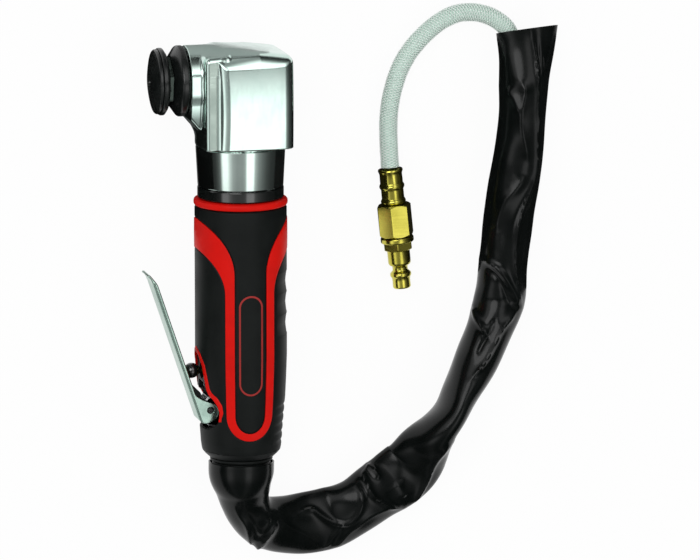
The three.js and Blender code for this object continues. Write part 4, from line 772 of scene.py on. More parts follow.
@dataclass
class Studio:
    """The camera at the photograph's angle, the white floor and the soft light."""

    tilt_degrees: float = 13.9
    pitch_degrees: float = 11.0
    distance_mm: float = 4000.0
    frame_width_mm: float = 383.6
    centre_right_mm: float = 60.17
    centre_down_mm: float = 110.5
    sensor_mm: float = 36.0
    clip_end_m: float = 100.0
    floor_half_mm: float = 4500.0
    floor_z_mm: float = -0.3
    card_lift_mm: float = 0.4
    glow: float = 0.95
    fill: float = 0.62
    lamp_aim: Triple = (60.0, -110.0, 20.0)
    lamps_at: tuple = (("key", (-700, 500, 1500), 1.0, 9.0), ("fill", (900, -700, 1400), 1.2, 5.0))
    round_stops: tuple = ((-180, 0.012), (-125, 0.012), (-109, 0.015), (-95, 0.02), (-82, 0.04), (-74, 0.09),
                          (-67, 0.18), (-60, 1.4), (-48, 1.4), (-41, 0.8), (-33, 0.45), (-22, 0.34), (-6, 0.36),
                          (1, 0.5), (5, 1.7), (22, 1.7), (26, 0.6), (36, 0.3), (48, 0.16), (60, 0.08), (74, 0.04),
                          (89, 0.03), (110, 0.03), (180, 0.02))
    along_stops: tuple = ((-1.0, 0.12), (-0.6, 0.22), (-0.42, 0.6), (-0.33, 1.0), (-0.26, 1.06), (-0.15, 1.08),
                          (-0.1, 0.85), (-0.05, 0.3), (-0.01, 0.12), (0.08, 0.14), (0.2, 1.1), (0.62, 1.15),
                          (0.78, 0.5), (0.86, 0.2), (0.94, 0.25), (1.0, 0.5))
    # Painted reflections: cards that only glossy rays see, each given as corners in millimetres and a grey.
    cards: tuple = ((((-29, -20), (-29, -89), (-4400, -1900), (-4400, -500)), 0.004),
                    (((-12, -25), (-12, -85), (-29, -89), (-29, -20)), 0.14),
                    (((-33, -45), (-33, 22), (-160, 10), (-160, -75)), 0.01),
                    (((24, 12), (24, -85), (4400, -1395), (4400, 12)), 0.02),
                    (((50, -20, 2), (50, -90, 2), (50, -90, 45), (50, -20, 45)), 0.02),
                    (((-33, 22), (24, 22), (60, 260), (-60, 260)), 0.42),
                    (((-4400, 260), (4400, 260), (4400, 1500), (-4400, 1500)), 0.25))

    def axes(self) -> tuple[Vector, Vector, Vector]:
        """Gives the picture's right and up directions and the direction to the camera.

        Returns:
            The three directions.
        """
        rho, phi = math.radians(self.tilt_degrees), math.radians(self.pitch_degrees)
        right = Vector((math.cos(rho), 0.0, math.sin(rho)))
        up = Vector((math.sin(rho) * math.sin(phi), math.cos(phi), -math.cos(rho) * math.sin(phi)))
        return right, up, right.cross(up)

    def camera(self) -> None:
        """Sets the camera at the photograph's viewing angle."""
        right, up, back = self.axes()
        middle = Vector((0.0, 0.0, AXIS_HEIGHT)) + right * self.centre_right_mm - up * self.centre_down_mm
        data = bpy.data.cameras.new("camera")
        data.sensor_width = self.sensor_mm
        data.lens = self.sensor_mm * self.distance_mm / self.frame_width_mm
        data.clip_end = self.clip_end_m
        camera = placed("camera", data)
        pose = Matrix((right, up, back)).transposed().to_4x4()
        pose.translation = (middle + back * self.distance_mm) * MM
        camera.matrix_world = pose
        bpy.context.scene.camera = camera

    @staticmethod
    def sheet(name: str, corners: list, material: bpy.types.Material) -> bpy.types.Object:
        """Makes a flat sheet.

        Args:
            name: Its name.
            corners: Its four corners, in millimetres.
            material: Its material.

        Returns:
            The sheet.
        """
        mesh = bpy.data.meshes.new(name)
        mesh.from_pydata([tuple(part * MM for part in corner) for corner in corners], [], [(0, 1, 2, 3)])
        mesh.materials.append(material)
        return placed(name, mesh)

    def floor(self) -> None:
        """Lays the white floor."""
        half, z = self.floor_half_mm, self.floor_z_mm
        corners = [(-half, -half, z), (half, -half, z), (half, half, z), (-half, half, z)]
        floor = self.sheet("floor", corners, self.floor_paper())

    def reflection_cards(self) -> None:
        """Sets up dark and grey cards round the handle as painted reflections, which only glossy rays see and which
        cast no shadow.
        """
        z = self.card_lift_mm + self.floor_z_mm
        for i, (corners, grey) in enumerate(self.cards):
            paint = Paint(f"Card {i}")
            paint.set(Base_Color=(grey, grey, grey), Roughness=0.9, Specular_IOR_Level=0.0)
            reflection_card = self.sheet(f"flag_{i}", [(x, y, z + sum(up)) for x, y, *up in corners], paint.material)
            reflection_card.visible_camera = reflection_card.visible_diffuse = reflection_card.visible_transmission = reflection_card.visible_shadow = False

    def floor_paper(self) -> bpy.types.Material:
        """Makes white paper that shows as white and keeps a faint shadow.

        Returns:
            The material.
        """
        paint = Paint("White paper")
        paint.set(Base_Color=(0.86, 0.86, 0.86), Roughness=0.9, Specular_IOR_Level=0.1)
        path = paint.add("ShaderNodeLightPath").outputs
        seen = paint.math("ADD", path["Is Camera Ray"], path["Is Glossy Ray"])
        seen = paint.math("MINIMUM", paint.math("ADD", seen, path["Is Transmission Ray"]), 1.0)
        white = paint.add("ShaderNodeEmission")
        white.inputs["Color"].default_value = (1.0, 1.0, 1.0, 1.0)
        mix = paint.add("ShaderNodeMixShader")
        paint.feed(tuple(mix.inputs), (paint.math("MULTIPLY", seen, self.glow), paint.shader.outputs["BSDF"],
                                       white.outputs["Emission"]))
        paint.link(mix.outputs["Shader"], paint.tree.nodes["Material Output"].inputs["Surface"])
        return paint.material

    def world(self) -> None:
        """Lights the scene from all sides and gives the metal a studio with panels and dark gaps to show."""
        world = bpy.data.worlds.new("studio")
        bpy.context.scene.world = world
        world.use_nodes = True
        sky = Nodes(world.node_tree)
        apart = sky.add("ShaderNodeSeparateXYZ")
        sky.link(sky.add("ShaderNodeTexCoord").outputs["Generated"], apart.inputs[0])
        turn = sky.math("ARCTAN2", apart.outputs["X"], apart.outputs["Z"])
        turn = sky.math("ADD", sky.math("DIVIDE", turn, 2 * math.pi), 0.5)
        rise = sky.math("ADD", sky.math("MULTIPLY", apart.outputs["Y"], 0.5), 0.5)
        shown = sky.math("MULTIPLY", self.shade(sky, turn, self.round_stops, -180.0, 360.0),
                         self.shade(sky, rise, self.along_stops, -1.0, 2.0))
        path = sky.add("ShaderNodeLightPath").outputs
        glossy = path["Is Glossy Ray"]
        flat = sky.math("MINIMUM", sky.math("ADD", path["Is Camera Ray"], path["Is Transmission Ray"]), 1.0)
        rest = sky.math("SUBTRACT", 1.0, sky.math("MINIMUM", sky.math("ADD", flat, glossy), 1.0))
        lit = sky.math("ADD", flat, sky.math("MULTIPLY", glossy, shown))
        back = sky.tree.nodes["Background"].inputs
        back["Color"].default_value = (1.0, 1.0, 1.0, 1.0)
        sky.link(sky.math("ADD", lit, sky.math("MULTIPLY", rest, self.fill)), back["Strength"])

    @staticmethod
    def shade(sky: Nodes, place: Socket, stops: tuple, start: float, span: float) -> Socket:
        """Adds a ramp of greys.

        Args:
            sky: The world's nodes.
            place: What it is read by, from 0 to 1.
            stops: Pairs of place and brightness.
            start: The place at the ramp's start.
            span: The ramp's length.

        Returns:
            The grey.
        """
        node = sky.add("ShaderNodeValToRGB")
        elements = node.color_ramp.elements
        while len(elements) > 1:
            elements.remove(elements[-1])
        elements[0].position = (stops[0][0] - start) / span
        for at, _ in stops[1:]:
            elements.new((at - start) / span)
        for element, (_, grey) in zip(elements, stops):
            element.color = (grey, grey, grey, 1.0)
        sky.link(place, node.inputs[0])
        return node.outputs[0]

    def lamps(self) -> None:
        """Hangs two soft lamps, of which only the key shows in the polished metal."""
        for name, place, size, power in self.lamps_at:
            data = bpy.data.lights.new(name, "AREA")
            data.shape, data.size, data.energy = "DISK", size, power
            lamp = placed(name, data)
            lamp.location = Vector(place) * MM
            aim = Vector(self.lamp_aim) * MM - lamp.location
            lamp.rotation_euler = aim.to_track_quat("-Z", "Y").to_euler()
            lamp.visible_glossy = name == "key"

    def build(self) -> None:
        """Makes the camera, the floor, the cards, the world and the lamps."""
        self.camera()
        self.floor()
        self.reflection_cards()
        self.world()
        self.lamps()
        bpy.context.scene.view_settings.view_transform = "Standard"


# --- Over-hose and air hose -----------------------------------------------------------------------

SLEEVE_ROUTE = (
    (0.0, -214.6, 26.0, 18.2), (0.0, -222.4, 26.0, 17.9), (1.2, -229.5, 24.0, 15.6), (2.8, -237.0, 21.2, 13.8),
    (6.0, -244.5, 18.0, 12.8), (12.5, -250.8, 15.4, 14.0), (23.0, -254.6, 12.2, 15.8), (40.0, -255.6, 9.4, 17.5),
    (56.0, -253.0, 9.3, 17.6), (69.0, -246.8, 11.9, 16.0), (80.0, -240.0, 11.1, 16.6), (91.0, -234.0, 9.3, 17.6),
    (101.0, -226.5, 9.3, 17.6), (107.4, -216.0, 12.8, 15.3), (114.3, -205.4, 16.9, 10.6),
    (121.4, -195.4, 18.3, 8.4), (127.4, -184.2, 17.7, 9.6), (136.8, -167.0, 16.1, 12.0),
    (144.8, -149.0, 15.5, 12.8), (151.0, -132.0, 13.9, 14.4), (152.6, -113.0, 14.8, 13.5),
    (157.0, -77.5, 14.4, 14.1), (160.8, -54.0, 14.7, 13.8), (163.0, -32.0, 15.3, 13.0),
    (164.2, -10.0, 14.7, 13.8), (165.8, 5.0, 12.9, 15.6), (167.2, 18.4, 9.9, 17.6),
)
HOSE_FREE_ROUTE = (
    (162.2, 1.0, 12.6), (159.0, 11.0, 11.0), (155.2, 19.6, 9.4), (149.0, 24.8, 8.0), (141.6, 27.8, 6.8),
    (134.7, 28.6, 6.0), (127.6, 27.9, 5.6), (119.8, 24.7, 5.5), (112.1, 19.3, 5.5), (105.6, 13.2, 5.5),
    (99.7, 5.8, 5.5), (95.2, -2.3, 5.6), (92.0, -11.2, 5.9), (89.8, -20.0, 6.4), (88.7, -28.2, 7.1),
    (88.3, -37.6, 8.2), (88.4, -47.0, 9.3), (88.83, -56.0, 9.9),
)


@dataclass
class AirHose:
    """The clear hose with its woven braid, from the nipple through the over-hose to the fittings."""

    radius_mm: float = 5.25
    lining_mm: float = 4.35
    braid_mm: float = 4.75
    strand_mm: float = 0.4
    strands: int = 8
    pitch_mm: float = 12.0
    start_mm: float = -220.3
    step_mm: float = 1.6
    sides: int = 20
    weave_mm: float = 0.16
    strand_step_mm: float = 0.8
    strand_wide: float = 1.5
    strand_thick: float = 0.8
    strand_sides: int = 4

    def line(self) -> Array:
        """Gives the hose's centreline: straight out of the handle, up the over-hose's middle and free.

        Returns:
            The line's points, in millimetres.
        """
        straight = [(0.0, self.start_mm - down, AXIS_HEIGHT) for down in (0.0, 3.0, 6.0)]
        inside = [place[:3] for place in SLEEVE_ROUTE[3:25]]
        return resampled(smooth_route(straight + inside + list(HOSE_FREE_ROUTE)), self.step_mm)

    def tube(self, line: Array, radius: float) -> Mesh:
        """Makes a closed round tube along a line.

        Args:
            line: Its centreline.
            radius: Its radius.

        Returns:
            Points and faces.
        """
        _, side, top = frames(line)
        points = line[:, None] + radius * spokes(side, top, round_angles(self.sides))
        return points.reshape(-1, 3), capped(len(line), self.sides)

    def braid(self, line: Array) -> Mesh:
        """Makes the strands that wind round the lining both ways.

        Args:
            line: The hose's centreline.

        Returns:
            Points and faces.
        """
        fine = resampled(line, self.strand_step_mm)
        along, side, top = frames(fine)
        run = run_along(fine)
        points, faces, base = [], [], 0
        for way in (1, -1):
            for k in range(self.strands):
                start = 2 * np.pi * k / self.strands
                turn = way * 2 * np.pi * run / self.pitch_mm + start
                weave = self.weave_mm * np.cos((turn - start) * way * self.strands) * way
                out = side * np.cos(turn)[:, None] + top * np.sin(turn)[:, None]
                round_way = np.cross(along, out)
                middle = fine + out * (self.braid_mm + weave)[:, None]
                loops = []
                for corner in range(self.strand_sides):
                    a = 2 * np.pi * corner / self.strand_sides + np.pi / 4
                    wide, thick = self.strand_wide * math.cos(a), self.strand_thick * math.sin(a)
                    loops.append(middle + self.strand_mm * (wide * round_way + thick * out))
                points.append(np.stack(loops, 1).reshape(-1, 3))
                faces += [[base + i for i in face] for face in capped(len(fine), self.strand_sides)]
                base += len(fine) * self.strand_sides
        return np.concatenate(points), faces

    def build(self) -> bpy.types.Object:
        """Makes the hose's clear wall, its braid and its milky lining.

        Returns:
            The clear wall.
        """
        line = self.line()
        clear = ClearPlastic("Clear hose wall", (0.72, 0.86, 0.79), 0.12).material()
        yarn = Rubber("Braid yarn", (0.93, 1.0, 0.96), (0.86, 0.97, 0.91), 0.35, 0.08, 3000.0, 0.00003).material()
        milky = Rubber("Milky lining", (0.50, 0.68, 0.59), (0.60, 0.77, 0.69), 0.35, 0.06, 900.0, 0.00002).material()
        wall = piece("air_hose_wall", *self.tube(line, self.radius_mm), Body.TOOL, clear, Slot.HOSE, ("air_hose",))
        inner = piece("air_hose_lining", *self.tube(line, self.lining_mm), Body.TOOL, milky, Slot.HOSE)
        braid = piece("air_hose_braid", *self.braid(line), Body.TOOL, yarn, Slot.HOSE, sharp=None)
        return wall


class Fold(Enum):
    """The ways that the thin rubber is creased, with the height and the width of the crease in millimetres."""

    RIDGE = (2.1, 1.1)
    SOFT = (1.4, 2.4)
    FINE = (0.9, 0.7)
    VALLEY = (-1.3, 1.6)


FOLDS = (
    (Fold.RIDGE, ((533, 28), (536, 44), (539, 66), (540, 104), (539, 140), (538, 166), (535, 180), (527, 200),
                  (521, 220), (518, 240), (517, 260), (518, 280), (522, 300), (524, 308))),
    (Fold.FINE, ((543, 28), (543.8, 66), (543.4, 104), (542.6, 140), (540, 166))),
    (Fold.VALLEY, ((538, 26), (541, 66), (541.5, 104), (540.8, 140), (539, 164))),
    (Fold.SOFT, ((508, 86), (516, 97), (522, 114))),
    (Fold.SOFT, ((520, 76), (527, 88), (525, 104), (523, 124), (528, 148), (531, 164))),
    (Fold.SOFT, ((530, 172), (519, 187), (508, 200), (501, 217), (498, 234))),
    (Fold.RIDGE, ((483, 258), (492, 263), (502, 271), (510, 282), (518, 298), (521, 308))),
    (Fold.VALLEY, ((486, 268), (494, 272), (502, 281), (508, 294), (512, 306))),
    (Fold.RIDGE, ((476, 306), (478, 318), (484, 328), (492, 340))),
    (Fold.RIDGE, ((520, 310), (512, 320), (504, 330), (497, 344), (490, 358), (482, 370), (472, 382))),
    (Fold.VALLEY, ((498, 318), (492, 332), (484, 346), (478, 358))),
    (Fold.RIDGE, ((456, 444), (442, 458), (434, 470), (428, 484), (420, 498), (412, 510))),
    (Fold.SOFT, ((397, 486), (402, 494), (405, 502))),
    (Fold.RIDGE, ((367, 468), (374, 474), (381, 483))),
    (Fold.RIDGE, ((367, 472), (364, 478), (368, 488), (372, 498), (382, 506), (392, 510), (406, 512))),
    (Fold.SOFT, ((400, 509), (386, 513), (370, 520), (356, 530), (348, 536), (338, 548), (330, 553))),
    (Fold.RIDGE, ((295, 520), (302, 515), (312, 514), (320, 519), (330, 525), (340, 528), (350, 526), (358, 518),
                  (362, 508), (361, 496), (356, 488))),
    (Fold.FINE, ((340, 530), (337, 536), (332, 542), (328, 549), (323, 552))),
    (Fold.FINE, ((275, 514), (282, 524), (290, 532), (302, 538), (314, 546), (323, 552))),
    (Fold.RIDGE, ((233, 506), (237, 516), (245, 528), (249, 540), (250, 550))),
    (Fold.RIDGE, ((252, 553), (259, 549), (267, 540), (272, 533), (275, 524))),
    (Fold.FINE, ((267, 520), (267.6, 528), (256, 540))),
    (Fold.VALLEY, ((243, 512), (252, 528), (256, 546))),
)


@dataclass
class OverHose:
    """The thin rubber exhaust over-hose, slack and creased, open at its far end."""

    studio: Studio
    round_mm: float = 13.85
    wall_mm: float = 0.8
    on_collar: int = 3
    step_mm: float = 1.1
    sides: int = 104
    pixel_mm: float = 0.548
    centre_px: tuple[float, float] = (240.2, 78.4)
    ripple_mm: float = 0.13
    ripples: int = 9
    slack_from: float = 0.045
    slack_within: float = 0.05
    mouth_from: float = 0.94
    mouth_within: float = 0.06
    mouth_slant: float = 0.2
    crease_fade: float = 0.16
    crease_left: float = 0.25
    crease_blunt_mm: float = 0.3
    lowest_mm: float = 0.25

    def stations(self) -> tuple[Array, Array]:
        """Gives the route's points, and half the width and height at each.

        Returns:
            The points and the two half sizes.
        """
        sizes = []
        for i, (_, _, _, half) in enumerate(SLEEVE_ROUTE):
            high = half if i < self.on_collar else math.sqrt(2 * self.round_mm ** 2 - half ** 2)
            sizes.append((half, high, i * 40.0))
        line = smooth_route([place[:3] for place in SLEEVE_ROUTE])
        both = np.hstack([line, smooth_route(sizes)[:, :2]])
        even = resampled(both, self.step_mm)
        return even[:, :3], even[:, 3:]

    def seen_at(self, points: Array) -> Array:
        """Gives where points lie in the photograph, in pixels.

        Args:
            points: The points, in millimetres.

        Returns:
            Places across and down the picture.
        """
        right, up, _ = self.studio.axes()
        place = points - LIFT
        across = place @ np.array(right) / self.pixel_mm + self.centre_px[0]
        down = self.centre_px[1] - place @ np.array(up) / self.pixel_mm
        return np.stack([across, down], -1)

    def creases(self, points: Array) -> Array:
        """Gives how far the rubber stands out at some points, by the folds near them.

        Args:
            points: Points of the smooth surface.

        Returns:
            The heights, in millimetres.
        """
        seen = self.seen_at(points)
        height = np.zeros(len(points))
        for fold, marks in FOLDS:
            rise, wide = fold.value
            line = smooth_route(marks, 4)
            best = np.full(len(points), np.inf)
            share = np.zeros(len(points))
            for i, (a, b) in enumerate(zip(line, line[1:])):
                t = np.clip(((seen - a) @ (b - a)) / ((b - a) @ (b - a)), 0.0, 1.0)
                gap = np.linalg.norm(seen - a - t[:, None] * (b - a), axis=1) * self.pixel_mm
                nearer = gap < best
                best[nearer] = gap[nearer]
                share[nearer] = (i + t[nearer]) / (len(line) - 1)
            fade = np.clip(np.minimum(share, 1 - share) / self.crease_fade, self.crease_left, 1.0)
            blunt = np.sqrt(best ** 2 + self.crease_blunt_mm ** 2) - self.crease_blunt_mm
            height += rise * fade * np.exp(-blunt / wide)
        return height

    def build(self) -> bpy.types.Object:
        """Makes the over-hose.

        Returns:
            The new piece.
        """
        line, sizes = self.stations()
        _, side, top = frames(line)
        angles = round_angles(self.sides)
        count = len(line)
        share = np.linspace(0.0, 1.0, count)
        slack = np.clip((share - self.slack_from) / self.slack_within, 0.0, 1.0)[:, None]
        out = spokes(side, top, angles)
        flat = side[:, None] * (sizes[:, 0, None] * np.cos(angles))[..., None]
        tall = top[:, None] * (sizes[:, 1, None] * np.sin(angles))[..., None]
        smooth = line[:, None] + flat + tall
        at_mouth = np.clip((share - self.mouth_from) / self.mouth_within, 0.0, 1.0)[:, None] ** 2
        smooth[..., 1] += at_mouth * self.mouth_slant * (smooth[..., 0] - line[:, None, 0])
        rng = np.random.default_rng(7)
        ripple = np.zeros((count, self.sides))
        for _ in range(self.ripples):
            turns, waves = rng.integers(1, 5), rng.uniform(5.0, 22.0)
            phase = rng.uniform(0, 2 * np.pi, 2)
            ripple += np.sin(turns * angles[None] + phase[0]) * np.sin(waves * 2 * share[:, None] * np.pi + phase[1])
        heights = self.creases(smooth.reshape(-1, 3)).reshape(count, self.sides)
        facing = np.clip((out @ np.array(self.studio.axes()[2])) * 2.2 + 0.6, 0.0, 1.0)
        push = (heights * facing + ripple * self.ripple_mm * slack / 2.2) * slack
        outer = smooth + out * push[..., None]
        outer[..., 2] = np.maximum(outer[..., 2], self.lowest_mm + 0.02 * np.abs(np.sin(angles * 2))[None])
        inner = outer - out * self.wall_mm
        loops = np.concatenate([outer, inner[::-1]])
        faces = grid_faces(2 * count, self.sides)
        last = (2 * count - 1) * self.sides
        faces += [(last + j, last + (j + 1) % self.sides, (j + 1) % self.sides, j) for j in range(self.sides)]
        sleeve = piece("exhaust_over_hose", loops.reshape(-1, 3), faces, Body.TOOL, SLEEVE_RUBBER.material(),
                       Slot.SLEEVE, ("exhaust_sleeve",), sharp=60.0)
        length = float(np.linalg.norm(np.diff(line, axis=0), axis=1).sum())
        return sleeve


# --- Head and hub ---------------------------------------------------------------------------------


@dataclass
class Head:
    """The polished die casting: a crowned block, a milled pad, the spindle's nose and the round neck."""

    half: float = 26.0
    skirt: float = 36.2
    right: float = 25.5
    block_left: float = -13.0
    corner: float = 6.0
    shoulder: float = 7.0
    crown: float = 0.0013
    pad_left: float = -24.2
    pad_half: float = 22.0
    pad_top: float = 15.6
    nose_end: float = -31.2
    nose_radius: float = 19.5
    facet: float = 18.45
    ridge_start: float = -19.0
    ridge_height: float = 19.5
    ridge_slope: float = 0.056
    ridge_bend: float = 0.0011
    top_flat: float = 9.0
    top_arc: float = 0.88
    bevel_from: float = -14.0
    bevel_within: float = 20.0
    top_lean: float = 0.8
    crown_middle: tuple[float, float] = (4.0, -16.0)
    far_crown: float = 0.002
    far_from: float = 12.0
    wall_slope: tuple[float, float] = (0.695, 0.719)
    wall_edge: float = 1.6
    wall_reach: float = 4.4
    lid_edge: float = 3.5
    soft_edge: float = 0.7
    fine_edge: float = 0.5
    pad_rise: float = 0.06
    pad_fillet: float = 2.2
    heel_fillet: float = 4.0
    heel_wide: float = 17.0
    heel_deep: float = 31.0
    neck: float = 24.6
    spigot: float = 22.6
    step: float = 0.5
    bores_along: tuple = ((15.2, -18.0, 13.0), (14.15, -40.0, -17.0), (8.15, 12.0, 19.3))
    bores_down: tuple = ((20.45, -60.0, -29.0), (15.65, -30.3, -24.5), (11.15, -26.1, -17.0), (9.4, -18.2, -11.0))

    def top(self, x: Array, z: Array) -> Array:
        """Gives the height of the domed top.

        Args:
            x: Places across the handle.
            z: Places above its line.

        Returns:
            The heights.
        """
        back = x - self.ridge_start
        ridge = self.ridge_height - self.ridge_slope * back - self.ridge_bend * back ** 2
        u = np.clip((np.abs(z) - self.top_flat) / (self.half - self.top_flat), 0.0, 1.05)
        round_fall = (1 - np.sqrt(1 - (self.top_arc * u) ** 2)) / (1 - math.sqrt(1 - self.top_arc ** 2))
        bevelled = np.clip((x - self.bevel_from) / self.bevel_within, 0.0, 1.0)
        return ridge - (ridge - self.shoulder) * (round_fall * (1 - bevelled) + u ** 6 * bevelled)

    def block(self, x: Array, y: Array, z: Array) -> Array:
        """Gives the distance to the raised right-hand block.

        Args:
            x: Places across the handle.
            y: Places along it.
            z: Places above its line.

        Returns:
            The distances, negative inside.
        """
        middle_x, middle_y = self.crown_middle
        bulge = self.crown * ((x - middle_x) ** 2 + (y - middle_y) ** 2)
        bulge = bulge + self.far_crown * np.maximum(x - self.far_from, 0) ** 2
        bulge = np.where(z > 0, bulge, 0.0)
        front = np.abs(z) + bulge - self.half
        sides = rounded_max(front, x - self.right, self.corner)
        across, outward = self.wall_slope
        wall = (self.block_left - x) * across + (np.abs(z) - self.half) * outward
        left = rounded_max(sides, wall, self.wall_edge)
        left = np.maximum(left, self.block_left - self.wall_reach * np.clip((16.5 - y) / 4, 0.0, 1.0) - x)
        lid = (y - self.top(x, z)) * self.top_lean
        lid = rounded_max(lid, x - self.right + 0.2, self.lid_edge)
        return rounded_max(left, lid, self.soft_edge)

    def pad(self, x: Array, y: Array, z: Array) -> Array:
        """Gives the distance to the lower milled pad between the block and the nose.

        Args:
            x: Places across the handle.
            y: Places along it.
            z: Places above its line.

        Returns:
            The distances, negative inside.
        """
        face = np.abs(z) - self.pad_half
        far = ((x - self.pad_left) * -15.4 + (z + 6.6) * -4.4) / 16.02
        left = rounded_max(face, self.pad_left - x, 2.4)
        left = rounded_max(left, far, 2.0)
        lid = rounded_max(left, y - self.pad_top - self.pad_rise * (x - self.ridge_start), 3.4)
        return rounded_max(lid, x - self.block_left - 2.0, self.fine_edge)

    def nose(self, x: Array, y: Array, z: Array) -> Array:
        """Gives the distance to the spindle's nose with its milled facet.

        Args:
            x: Places across the handle.
            y: Places along it.
            z: Places above its line.

        Returns:
            The distances, negative inside.
        """
        s = np.clip((x + 23.0) / 11.0, 0.0, 1.0)
        s = s * s * (3 - 2 * s)
        lid = (1 - s) * (np.hypot(y, z) - self.nose_radius) + s * (y - self.top(x, z)) * self.top_lean
        body = rounded_max(lid, np.abs(z) - self.facet - 3.4 * s * np.clip((y - 8) / 5, 0.0, 1.0), 0.6)
        body = np.maximum(np.maximum(body, -self.skirt + 0.5 - y), x - self.block_left - 3)
        return rounded_max(body, self.nose_end - x, self.fine_edge)

    def heel(self, x: Array, y: Array, z: Array) -> Array:
        """Gives the distance to the small slope under the nose.

        Args:
            x: Places across the handle.
            y: Places along it.
            z: Places above its line.

        Returns:
            The distances, negative inside.
        """
        wide, deep = self.heel_wide, self.heel_deep
        round_part = (np.cbrt(np.abs(z / wide) ** 3 + np.abs(y / deep) ** 3) - 1.0) * wide
        slope = ((x + 24.4) * -7.6 + (y + 28.0) * -6.2) / 9.81
        body = rounded_max(round_part, slope, 1.5)
        return np.maximum(np.maximum(body, -30.9 - x), np.maximum(x - self.block_left, y + 4.0))

    def stem(self, x: Array, y: Array, z: Array) -> Array:
        """Gives the distance to the round neck and its spigot.

        Args:
            x: Places across the handle.
            y: Places along it.
            z: Places above its line.

        Returns:
            The distances, negative inside.
        """
        r = np.hypot(x, z)
        neck = np.maximum(r - self.neck + np.maximum(y + 27, 0.0) * 0.58, slab(y, -37.0, -15.0))
        return np.minimum(neck, np.maximum(r - self.spigot, slab(y, -41.9, -30.0)))

    def solid(self, x: Array, y: Array, z: Array) -> Array:
        """Gives the distance to the whole casting, with its bores.

        Args:
            x: Places across the handle.
            y: Places along it.
            z: Places above its line.

        Returns:
            The distances, negative inside.
        """
        stem = self.stem(x, y, z)
        heel = filleted_min(self.heel(x, y, z), np.maximum(stem, x + 18.0), self.heel_fillet)
        front = filleted_min(self.nose(x, y, z), heel, 1.0)
        body = filleted_min(front, self.pad(x, y, z), self.pad_fillet)
        body = filleted_min(body, self.block(x, y, z), 0.05 + np.clip((12.0 - y) / 8, 0.0, 1.0))
        body = np.minimum(rounded_max(body, -self.skirt - y, self.soft_edge), stem)
        for radius, low, high in self.bores_along:
            body = np.maximum(body, -np.maximum(np.hypot(y, z) - radius, slab(x, low, high)))
        for radius, low, high in self.bores_down:
            body = np.maximum(body, -np.maximum(np.hypot(x, z) - radius, slab(y, low, high)))
        return body

    def build(self) -> None:
        """Makes the casting, with the pad's milled faces in their own finish."""
        made = meshed(self.solid, (-31.4, -42.2, -26.2), (25.7, 20.0, 26.2), self.step)
        casting = carved("head_casting", made, CASTING.material(), Slot.CASTING, ("head_housing",))
        casting.data.materials.append(MILLED.material())
        middle = np.array([made[0][list(face)].mean(0) for face in made[1]])
        on_pad = (middle[:, 0] < self.block_left - 0.1) & (middle[:, 0] > self.pad_left + 0.3)
        on_pad &= (np.abs(np.abs(middle[:, 2]) - self.pad_half) < 0.06) & (middle[:, 1] > -35.4)
        casting.data.polygons.foreach_set("material_index", on_pad.astype(np.int32))


@dataclass
class ClampingHub:
    """The two flanges that clamp a brush belt, their hexagon, the cap and its screw."""

    inner: Profile = ((0.1, -39.7), (14.2, -39.7, 0.5), (18.9, -36.35, 0.6), (19.5, -35.5, 0.5), (19.5, -32.8, 0.5),
                      (18.6, -31.9, 0.4), (0.1, -31.9))
    outer: Profile = ((0.1, -46.3), (17.9, -46.3, 0.4), (18.5, -45.8, 0.4), (18.5, -44.0, 0.4), (16.4, -42.55, 0.3),
                      (0.1, -42.5))
    cap: Profile = ((0.1, -48.6), (4.1, -48.6, 0.1), (4.4, -51.0, 0.3), (9.0, -50.4, 2.0), (14.0, -49.2, 2.0),
                    (17.3, -48.3, 0.8), (17.8, -47.7, 0.4), (17.8, -46.65, 0.2), (0.1, -46.6))
    screw: Profile = ((0.1, -49.2), (2.1, -49.2, 0.1), (2.35, -50.85, 0.2), (3.8, -50.85, 0.3), (4.15, -50.5, 0.2),
                      (4.15, -48.7), (0.1, -48.7))
    core: Profile = ((0.1, -42.6), (12.0, -42.6), (14.0, -41.9), (14.4, -40.0), (0.1, -39.6))
    hexagon_flats: float = 24.4
    hexagon_degrees: float = 12.0

    def build(self) -> None:
        """Makes the hub's pieces."""
        black = BLACK_STEEL.material()
        for name, profile, node in (("hub_inner_flange", self.inner, "inner_flange"),
                                    ("hub_outer_flange", self.outer, "outer_flange"),
                                    ("hub_end_cap", self.cap, "hub_cap"),
                                    ("hub_socket_screw", self.screw, "hub_screw")):
            mesh = turned(rounded(profile), Line.SPINDLE, 128)
            piece(name, *mesh, Body.SPINDLE, black, Slot.BLACK_STEEL, (node,), sharp=28)
        shape = hexagon(self.hexagon_flats, math.radians(self.hexagon_degrees))
        mesh = turned(np.array(self.core), Line.SPINDLE, 144, shape)
        piece("hub_hexagon", *mesh, Body.SPINDLE, HEX_STEEL.material(), Slot.BLACK_STEEL, sharp=20)


# --- Handle ---------------------------------------------------------------------------------------


